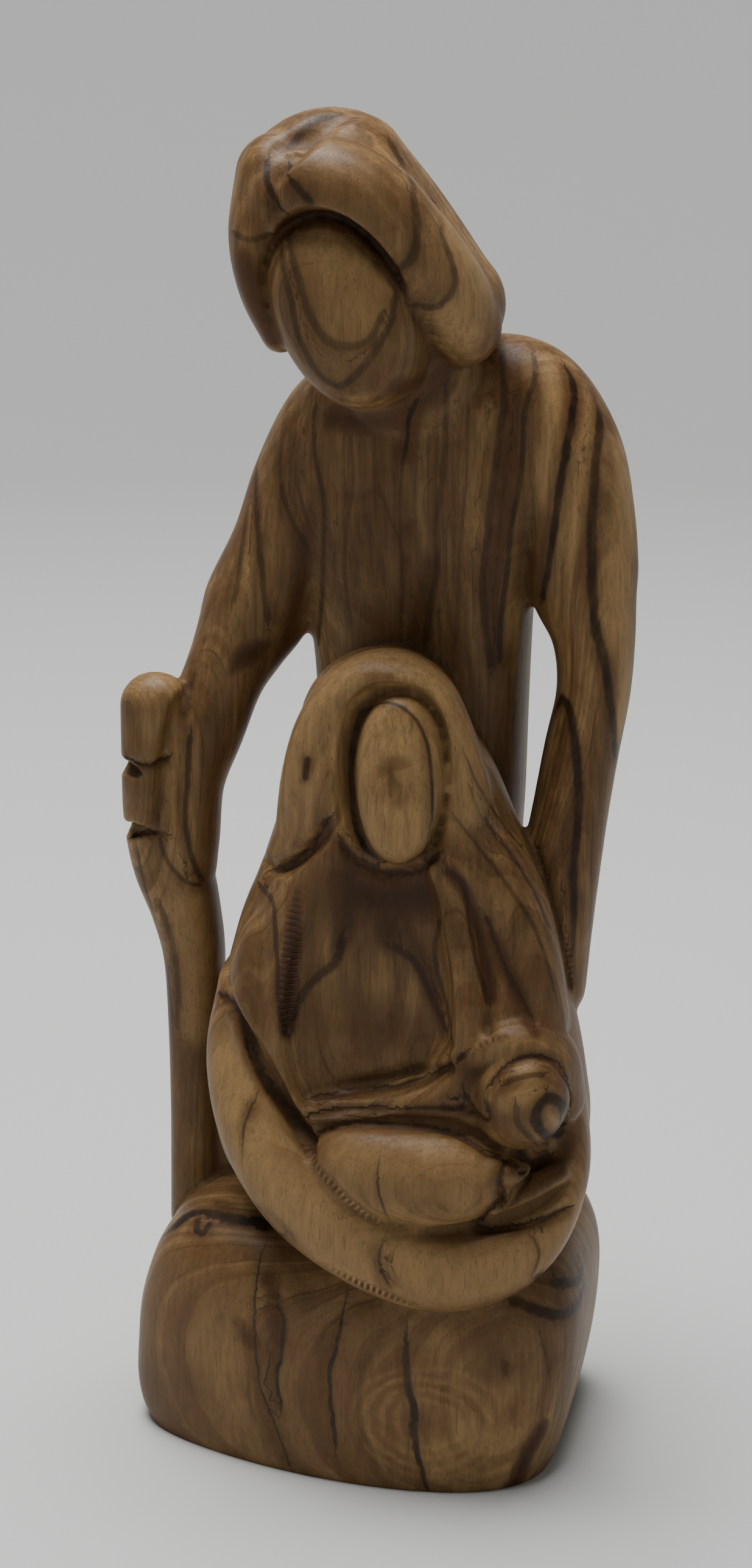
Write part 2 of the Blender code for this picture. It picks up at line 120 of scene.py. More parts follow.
def limb(name, stations, squareness=2.0, dome=1.0, twist=0.0):
    # each station: x, y, z, half width across the front, half depth
    rows = smoothRows(stations, carving["ringsPerSpan"])
    middles = [onGrid(*row[:3]) for row in rows]
    outline = roundedOutline(carving["ringPoints"], squareness, squareness)
    domeRings = carving["domeRings"]
    leanCos, leanSin = math.cos(math.radians(twist)), math.sin(math.radians(twist))
    rings = []

    def ring(middle, tangent, halfWidth, halfDepth):
        depthAxis = Vector((0, 1, 0))
        depthAxis = (depthAxis - tangent * depthAxis.dot(tangent)).normalized()
        widthAxis = depthAxis.cross(tangent).normalized()
        points = []
        for u, v in outline:
            wide, deep = u * halfWidth * square, v * halfDepth * square
            across, inward = wide * leanCos - deep * leanSin, wide * leanSin + deep * leanCos
            points.append(middle + widthAxis * across + depthAxis * inward)
        return points

    last = len(rows) - 1
    for i, row in enumerate(rows):
        tangent = (middles[min(i + 1, last)] - middles[max(i - 1, 0)]).normalized()
        caps = []
        for k in range(domeRings):
            angle = 0.5 * math.pi * (1 - (k + 0.3) / domeRings)
            caps.append((math.sin(angle) * min(row[3], row[4]) * dome * square, math.cos(angle)))
        if i == 0:
            rings += [ring(middles[0] - tangent * r, tangent, row[3] * s, row[4] * s) for r, s in caps]
        rings.append(ring(middles[i], tangent, row[3], row[4]))
        if i == last:
            caps.reverse()
            rings += [ring(middles[i] + tangent * r, tangent, row[3] * s, row[4] * s) for r, s in caps]
    return skin(name, rings)


def egg(name, middle, radii, turn=(0, 0, 0), squareness=2.0):
    bm = bmesh.new()
    count = carving["ringPoints"]
    bmesh.ops.create_uvsphere(bm, u_segments=count, v_segments=count // 2, radius=1.0)
    tilt = Euler([math.radians(a) for a in turn]).to_matrix()
    centre = onGrid(*middle)
    for v in bm.verts:
        full = sum(abs(c) ** squareness for c in v.co) ** (-1 / squareness)
        v.co = centre + tilt @ Vector([c * r * full * square for c, r in zip(v.co, radii)])
    return newObject(name, bm)


def facePlate(name, middle, halfWidth, halfHeight, rise, turn, rounding):
    # a blank oval, a little fuller above than below, standing proud of the hood
    tilt = Euler([math.radians(a) for a in turn]).to_matrix()
    centre = onGrid(*middle)
    outline = roundedOutline(carving["ringPoints"], carving["faceSquareness"], carving["faceSquareness"])
    steps = 2 * carving["domeRings"]
    profile = [(1.0, 1.0), (0.5, 1.0), (0.0, 1.0)]
    for step in range(1, steps + 1):
        angle = 0.5 * math.pi * step / (steps + 0.5)
        profile.append((-(math.sin(angle) ** (2 / rounding)), math.cos(angle) ** (2 / rounding)))
    rings = []
    for forward, size in profile:
        ring = []
        for u, v in outline:
            wide = halfWidth * size * u * (1 + carving["faceFullness"] * v)
            ring.append(centre + tilt @ (Vector((wide, forward * rise, halfHeight * size * v)) * square))
        rings.append(ring)
    return skin(name, rings)


def bakeModifiers(obj):
    graph = bpy.context.evaluated_depsgraph_get()
    mesh = bpy.data.meshes.new_from_object(obj.evaluated_get(graph))
    obj.modifiers.clear()
    obj.data = mesh
    return obj


def carve(obj, *cutters):
    for cutter in cutters:
        cut = obj.modifiers.new("carve", "BOOLEAN")
        cut.operation = "DIFFERENCE"
        cut.solver = "EXACT"
        cut.object = cutter
    bakeModifiers(obj)
    for cutter in cutters:
        bpy.data.objects.remove(cutter, do_unlink=True)
    return obj


def fuse(name, forms, softening):
    # overlapping forms become one skin, then the inner corners are rubbed round
    bm = bmesh.new()
    for form in forms:
        bm.from_mesh(form.data)
        bpy.data.objects.remove(form, do_unlink=True)
    obj = newObject(name, bm)
    cell = carving["cell"]
    remesh = obj.modifiers.new("fuse", "REMESH")
    remesh.mode = "VOXEL"
    remesh.voxel_size = cell
    rub = obj.modifiers.new("rub", "SMOOTH")
    rub.factor = 0.5
    # the rubbing reaches as far whatever the cell
    rub.iterations = max(1, round(softening * (carving["rubCell"] / cell) ** 2))
    return bakeModifiers(obj)


def meshArrays(mesh):
    count = len(mesh.vertices)
    points = np.empty(3 * count)
    mesh.vertices.foreach_get("co", points)
    normals = np.empty(3 * count)
    mesh.vertices.foreach_get("normal", normals)
    return points.reshape(-1, 3), normals.reshape(-1, 3)


def measureFromPath(points, path, front, back):
    # how near each point is to a path drawn on the front view, and the path's own values there
    x, y = points[:, 0] / square, points[:, 1] / square
    z = (points[:, 2] - carving["baseHeight"]) / square + carving["baseSquares"]
    rows = smoothRows(path, carving["ringsPerSpan"])
    reach = rows[:, 2].max() * 1.5 + 3.0
    low, high = rows[:, :2].min(0) - reach, rows[:, :2].max(0) + reach
    near = (x > low[0]) & (x < high[0]) & (z > low[1]) & (z < high[1]) & (y > front) & (y < back)
    chosen = np.nonzero(near)[0]
    x, z = x[chosen], z[chosen]
    best = np.full(len(chosen), np.inf)
    values = np.zeros((len(chosen), rows.shape[1] - 2))
    for a, b in zip(rows, rows[1:]):
        run = b[:2] - a[:2]
        length = max(math.hypot(*run), 1e-9)
        along = np.clip(((x - a[0]) * run[0] + (z - a[1]) * run[1]) / length**2, 0, 1)
        offX, offZ = x - a[0] - along * run[0], z - a[1] - along * run[1]
        off = np.hypot(offX, offZ)
        closer = off < best
        best[closer] = off[closer]
        values[closer] = (a[2:] + along[:, None] * (b[2:] - a[2:]))[closer]
    return chosen, best, values


def press(obj, path, front, back):
    # presses a groove into the front; each row of the path: x, z, half width, depth
    points, normals = meshArrays(obj.data)
    chosen, off, values = measureFromPath(points, path, front, back)
    share = np.clip(1 - off / np.maximum(values[:, 0], 1e-6), 0, 1)
    share = share * share * (3 - 2 * share)
    facing = np.clip(-3.0 * normals[chosen, 1], 0, 1)
    points[chosen] -= normals[chosen] * (share * facing * values[:, 1] * square)[:, None]
    obj.data.vertices.foreach_set("co", points.ravel())
    obj.data.update()


def baseBlock():
    # the block under the figures: flat below, bulging in front, its left side leaning in
    halfW, halfD = 0.5 * carving["baseWidth"], 0.5 * carving["baseDepth"]
    # height, left, right, front and back, as shares of the height, half width and half depth
    levels = [
        (-0.14, -0.96, 0.93, -0.96, 0.94),
        (0.00, -0.98, 0.95, -0.98, 0.95),
        (0.08, -1.02, 0.98, -1.01, 0.98),
        (0.20, -1.04, 1.01, -1.03, 1.00),
        (0.36, -1.03, 1.04, -1.04, 1.02),
        (0.55, -1.01, 1.06, -1.03, 1.02),
        (0.72, -0.96, 1.06, -1.00, 1.00),
        (0.85, -0.90, 1.03, -0.93, 0.96),
        (0.95, -0.80, 0.97, -0.80, 0.89),
        (1.02, -0.62, 0.84, -0.55, 0.76),
        (1.06, -0.35, 0.65, -0.25, 0.55),
    ]
    outline = roundedOutline(4 * carving["ringPoints"], *carving["baseSquareness"])
    rings = []
    for z, left, right, front, back in smoothRows(levels, carving["ringsPerSpan"]):
        midX, midY = 0.5 * (left + right), 0.5 * (front + back)
        reachX, reachY = 0.5 * (right - left), 0.5 * (back - front)
        ring = []
        for u, v in outline:
            x, y = midX + u * reachX, midY + v * reachY
            y += carving["baseFrontCurve"] * (x - carving["baseFrontMiddle"]) ** 2 * 0.5 * (1 - v)
            ring.append((x * halfW, y * halfD, z * carving["baseHeight"]))
        rings.append(ring)
    return skin("baseBlock", rings)


def manBody():
    robe = limb("robe", [
        (6.5, 12.0, 22, 19.0, 11.0),
        (6.5, 12.0, 50, 17.0, 10.5),
        (6.5, 12.3, 80, 15.0, 10.0),
        (6.8, 12.0, 100, 15.4, 10.0),
        (6.8, 11.5, 120, 16.0, 10.0),
        (6.5, 10.0, 134, 17.5, 10.0),
        (6.5, 9.4, 148, 20.5, 10.4),
        (7.0, 8.8, 158, 18.0, 9.6),
    ], squareness=3.0, dome=0.8)
    leftArm = limb("leftShoulderArm", [
        (14.0, 9.5, 160.0, 8.0, 8.0),
        (22.0, 10.0, 158.5, 8.6, 8.5),
        (27.8, 9.5, 151.2, 8.3, 8.5),
        (30.3, 8.5, 142.0, 8.0, 8.3),
        (31.1, 7.5, 133.0, 8.1, 8.0),
        (33.0, 6.5, 125.0, 6.1, 7.5),
        (33.2, 6.0, 117.0, 5.4, 7.2),
        (31.8, 5.0, 108.5, 5.5, 7.0),
        (30.6, 3.5, 100.0, 5.6, 6.8),
        (29.6, 2.0, 92.0, 5.8, 6.6),
        (28.9, 0.5, 82.0, 5.6, 6.5),
        (28.6, 0.0, 73.0, 5.2, 6.0),
    ])
    rightArm = limb("rightArm", [
        (0.0, 9.0, 158, 8.0, 7.5),
        (-5.5, 8.5, 154.5, 8.0, 7.5),
        (-10.5, 8.5, 146, 7.5, 7.2),
        (-13.5, 7.5, 136.0, 7.8, 7.0),
        (-17.3, 6.5, 127.0, 8.2, 6.8),
        (-19.8, 5.5, 121.5, 7.0, 6.5),
        (-22.0, 4.0, 116.5, 6.1, 6.2),
        (-24.6, 2.0, 109.0, 6.1, 5.8),
        (-26.6, 1.0, 101.0, 5.2, 5.4),
        (-27.2, 1.0, 93.0, 5.0, 5.2),
        (-27.6, 1.5, 87.0, 4.6, 5.0),
    ])
    yoke = limb("yoke", [
        (-5.0, 9.5, 153.0, 8.0, 8.0),
        (6.0, 9.0, 157.0, 9.0, 9.0),
        (20.0, 10.5, 157.5, 8.6, 8.6),
    ])
    return fuse("manBody", [robe, leftArm, rightArm, yoke], softening=6)


def staff():
    shaft = limb("staff", [
        (-28.3, 7.5, 28, 4.2, 5.5),
        (-28.2, 7.0, 45, 3.9, 5.0),
        (-27.8, 6.0, 60, 4.1, 5.0),
        (-27.4, 4.5, 72, 4.6, 5.0),
        (-28.2, 3.0, 80, 5.2, 5.0),
        (-29.6, 1.0, 88, 6.0, 5.0),
        (-30.6, -0.5, 96, 5.8, 5.0),
        (-30.9, -1.5, 105, 5.3, 4.8),
        (-30.9, -2.0, 113.6, 5.1, 4.6),
    ], squareness=2.4)
    carve(
        shaft,
        egg("upperNotch", (-37.4, -6.0, 104.6), (5.6, 7.0, 1.5), (0, 12, 20)),
        egg("lowerNotch", (-37.2, -5.0, 93.4), (6.0, 7.0, 1.6), (0, -14, 20)),
    )
    web = limb("web", [
        (-20.0, 8.0, 26, 12.0, 4.0),
        (-18.0, 8.0, 50, 11.0, 3.5),
        (-17.0, 8.0, 64, 9.0, 3.0),
    ], squareness=3.0)
    return [shaft, web]


def manHead():
    crown = limb("crown", [
        (-3.6, -2.5, 186.3, 13.8, 13.8),
        (3.0, 0.5, 181.0, 11.2, 12.6),
        (12.0, 2.5, 172.8, 8.1, 9.6),
    ])
    brow = limb("brow", [
        (-10.5, -9.0, 186.5, 4.2, 6.0),
        (-6.0, -10.5, 190.0, 6.4, 7.5),
        (1.0, -10.5, 188.0, 7.6, 8.2),
        (7.4, -8.0, 181.3, 7.4, 8.2),
        (12.3, -4.0, 174.8, 6.6, 7.6),
        (14.6, -1.0, 170.5, 5.6, 6.6),
    ])
    leftLobe = limb("leftLobe", [
        (-10.1, -7.0, 191.0, 6.0, 7.0),
        (-11.8, -8.5, 183.0, 5.0, 7.0),
        (-11.6, -9.0, 176.0, 3.6, 6.5),
        (-9.4, -9.0, 169.5, 2.6, 5.0),
    ])
    hood = fuse("hood", [crown, brow, leftLobe], softening=6)
    carve(hood, egg("faceOpening", (0.8, -19.5, 172.4), (10.6, 12.5, 16.4), (0, -27, 0), 2.2))
    neck = limb("neck", [
        (3.0, -2.0, 172.0, 9.0, 8.0),
        (6.0, 3.0, 164.0, 10.5, 8.5),
        (6.5, 8.5, 154.0, 13.0, 8.0),
    ])
    face = facePlate("manFace", (0.3, -10.5, 173.2), 9.7, 14.0, 8.6, (-3, -24, 0), 2.6)
    return [hood, neck, face]


def mother():
    cloak = limb("cloak", [
        (7.4, -5.5, 37, 20.0, 14.0),
        (7.5, -5.5, 44, 26.0, 16.0),
        (7.2, -5.5, 52, 28.3, 17.0),
        (6.8, -5.5, 60, 28.0, 17.2),
        (6.4, -5.5, 70, 26.6, 17.0),
        (6.3, -5.2, 80, 24.2, 16.2),
        (6.3, -5.0, 90, 21.0, 15.2),
        (5.6, -5.0, 100, 17.2, 14.2),
        (4.5, -5.0, 108, 14.4, 13.8),
        (4.1, -5.0, 113.5, 11.8, 12.5),
    ], squareness=2.3, dome=0.93)
    crescent = limb("crescent", [
        (-14.5, -8.0, 73.0, 5.5, 6.0),
        (-14.0, -11.5, 63.0, 7.0, 7.0),
        (-9.8, -15.5, 53.0, 8.0, 7.5),
        (-2.5, -19.0, 45.0, 8.2, 7.5),
        (8.0, -20.5, 38.6, 7.6, 7.0),
        (18.0, -20.0, 37.0, 7.6, 7.0),
        (26.0, -16.5, 40.5, 7.4, 7.0),
        (30.0, -11.0, 48.0, 6.4, 6.5),
        (30.3, -7.0, 58.0, 5.0, 6.0),
    ], squareness=2.4)
    hoodRim = limb("hoodRim", [
        (-7.4, -9.0, 97.0, 3.6, 5.0),
        (-5.6, -11.2, 107.0, 3.7, 5.2),
        (-3.2, -11.6, 114.8, 3.6, 5.8),
        (1.2, -11.2, 120.6, 3.5, 6.0),
        (6.8, -11.0, 122.4, 3.4, 6.0),
        (12.0, -11.0, 119.6, 3.4, 6.0),
        (15.4, -11.0, 112.5, 3.5, 5.8),
        (17.8, -10.6, 103.5, 3.6, 5.4),
    ])
    rightArm = limb("motherRightArm", [
        (-6.0, -8.0, 91.0, 4.6, 5.5),
        (-11.5, -11.0, 81.0, 4.6, 6.5),
        (-13.0, -13.0, 70.0, 4.2, 6.5),
        (-9.0, -15.0, 61.0, 3.6, 5.5),
    ])
    leftSleeve = limb("motherLeftSleeve", [
        (22.0, -8.0, 96.0, 3.4, 6.0),
        (25.5, -9.5, 88.0, 4.0, 6.0),
        (27.5, -10.5, 79.0, 4.4, 6.0),
        (28.6, -11.0, 71.0, 4.4, 6.0),
    ])
    wrap = fuse("motherWrap", [cloak, crescent, hoodRim, rightArm, leftSleeve], softening=5)
    hollow = limb("hollow", [
        (8.2, -24.5, 99.0, 7.0, 8.0),
        (7.2, -25.0, 93.5, 9.6, 9.0),
        (5.6, -25.2, 84.0, 12.6, 9.6),
        (5.0, -25.2, 76.0, 13.6, 9.8),
        (5.0, -25.2, 68.0, 13.6, 9.6),
        (6.4, -25.0, 63.0, 12.4, 9.0),
    ], squareness=2.9, dome=0.4, twist=carving["hollowTwist"])
    hoodOpening = egg("hoodOpening", (8.3, -19.6, 108.6), (8.7, 6.2, 14.4), (-8, 0, 8), 2.6)
    carve(wrap, hollow, hoodOpening)
    leftArm = limb("motherLeftArm", [
        (14.5, -12.0, 94.0, 2.6, 5.0),
        (17.2, -13.5, 87.0, 3.0, 5.0),
        (18.6, -14.0, 79.0, 3.0, 5.0),
        (19.8, -14.5, 69.0, 3.2, 5.0),
    ])
    shawl = limb("shawl", [
        (13.0, -13.0, 62.0, 2.6, 4.0),
        (17.0, -15.0, 66.0, 3.4, 5.0),
        (21.5, -16.5, 69.6, 3.6, 5.2),
        (27.0, -16.0, 70.6, 3.6, 5.4),
        (31.2, -13.5, 67.0, 3.4, 5.4),
        (32.4, -11.0, 60.0, 3.2, 5.4),
    ])
    forearm = limb("forearm", [
        (-6.0, -15.5, 59.0, 2.8, 4.0),
        (2.0, -17.0, 59.0, 2.6, 4.2),
        (10.0, -17.5, 60.5, 2.8, 4.2),
        (18.0, -17.0, 63.5, 3.6, 4.6),
    ])
    lowerFold = limb("lowerFold", [
        (17.0, -19.5, 45.0, 2.4, 4.5),
        (24.0, -18.5, 46.5, 2.8, 4.8),
        (31.0, -14.0, 49.5, 2.8, 5.0),
    ])
    arms = fuse("motherArms", [leftArm, shawl, forearm, lowerFold], softening=2)
    face = facePlate("motherFace", (8.6, -13.8, 108.0), 6.3, 12.3, 6.4, (-9, 0, 8), 4.0)
    faceLip = facePlate("faceLip", (8.6, -12.0, 108.0), 6.9, 12.9, 5.0, (-9, 0, 8), 4.0)
    swaddle = egg("swaddle", (11.0, -20.0, 50.6), (14.8, 8.2, 7.8), (0, 3, 0), 2.3)
    swaddleTip = limb("swaddleTip", [
        (20.0, -20.5, 51.5, 4.5, 5.5),
        (25.5, -21.0, 52.0, 2.6, 3.8),
        (28.2, -20.5, 52.2, 1.0, 2.0),
    ])
    childHead = egg("childHead", (27.3, -18.2, 62.8), (7.0, 7.2, 8.0), (0, 10, 0))
    return [wrap, arms, face, faceLip, swaddle, swaddleTip, childHead]


def sliceFlat(obj):
    # cuts the underside off flat at the floor, and closes it
    bm = bmesh.new()
    bm.from_mesh(obj.data)
    cut = bmesh.ops.bisect_plane(
        bm,
        geom=bm.verts[:] + bm.edges[:] + bm.faces[:],
        plane_co=(0, 0, 0),
        plane_no=(0, 0, -1),
        clear_outer=True,
    )
    rim = [e for e in cut["geom_cut"] if isinstance(e, bmesh.types.BMEdge)]
    bmesh.ops.contextual_create(bm, geom=rim)
    bmesh.ops.recalc_face_normals(bm, faces=bm.faces)
    bm.to_mesh(obj.data)
    bm.free()


def carveCreases(statue):
    # the knife's longer creases, seen from the front: x, z, half width and depth along each
    creases = [
        # the fold of the headcloth, from the crown down to the left end of the brow
        [(0.5, 200.0, 1.6, 0.4), (-5.0, 196.5, 2.6, 2.0), (-8.8, 192.6, 2.8, 2.6), (-8.8, 186.8, 1.6, 1.0)],
        # between the staff's knob and the hand that holds it
        [
            (-25.5, 117.5, 1.2, 0.3), (-27.4, 110.0, 2.2, 1.5),
            (-29.0, 102.0, 2.4, 1.6), (-31.0, 94.0, 1.4, 0.6),
        ],
        # under the hood, over the mother's right shoulder
        [(-12.5, 92.8, 1.2, 0.4), (-8.0, 94.0, 2.0, 1.4), (-3.0, 98.5, 2.0, 1.4), (0.0, 102.0, 1.4, 0.6)],
        # the edge of the right sleeve over the cloak's lower roll
        [(-18.5, 76.5, 1.6, 0.6), (-12.5, 67.5, 2.4, 1.6), (-6.5, 58.5, 2.4, 2.0), (-3.0, 53.5, 1.8, 1.2)],
        # between the chest and the forearm
        [(-4.0, 60.8, 1.2, 0.3), (4.0, 62.0, 1.6, 0.8), (12.0, 64.2, 1.6, 0.9), (18.0, 67.0, 1.2, 0.4)],
        # between the forearm and the swaddled child
        [(-3.0, 56.5, 1.0, 0.4), (6.0, 58.8, 1.6, 0.9), (16.0, 59.0, 1.6, 0.9), (22.0, 57.0, 1.2, 0.6)],
        # between the left arm's fold and the cloak
        [(17.5, 95.0, 1.2, 0.3), (21.2, 87.0, 2.2, 1.5), (22.7, 79.0, 2.2, 1.6), (22.6, 73.0, 1.4, 0.8)],
        # between the lower fold and the cloak's roll
        [(14.0, 42.8, 1.2, 0.4), (22.0, 43.8, 1.8, 1.2), (30.0, 46.2, 1.8, 1.2), (34.0, 49.0, 1.0, 0.3)],
    ]
    for crease in creases:
        press(statue, crease, front=-30.0, back=3.0)


# The viewpoint of the photo. The marks of the wood were drawn over the photo and are laid on from here.
view = {
    "azimuth": 12.0,
    "pitch": 16.5,
    "distance": 0.414,
    "height": 0.225,
    "aside": 0.002,
    "angle": 30.0,
    "photoWide": 1235,
    "photoHigh": 2576,
}

# Each part's drawing: its left and top in the photo, and how many times it was enlarged.
drawings = {
    "gown": (380, 560, 1.5),
    "farArm": (820, 560, 1.0),
    "head": (380, 180, 1.0),
    "mother": (330, 1040, 1.0),
    "lap": (330, 1640, 1.0),
    "base": (200, 1900, 1.4),
    "staff": (180, 1050, 1.0),
}

# How the marks are worked in. Reaches and widths in mm, depths in metres.
marking = {
    "stepsPerPoint": 4,
    "lineReach": 2.4,
    "narrowest": 0.05,
    "clear": 9.0,
    "farOff": 9.9,
    "gougeReach": 2.5,
    "hollowRounds": 14,
    "cutReach": 2.5,
    "knifeDepth": 0.0007,
    "knifeWider": 0.45,
    "crackDepth": 0.00035,
    "crackWider": 0.25,
}


def mark(drawing, halfWidth, strength, *points):
    # half width in mm; points run across and down the drawing, some with a width and strength of their own
    left, top, zoom = drawings[drawing]
    rows = []
    for across, down, *own in points:
        rows.append((left + across / zoom, top + down / zoom, *(own or (halfWidth, strength))))
    return rows


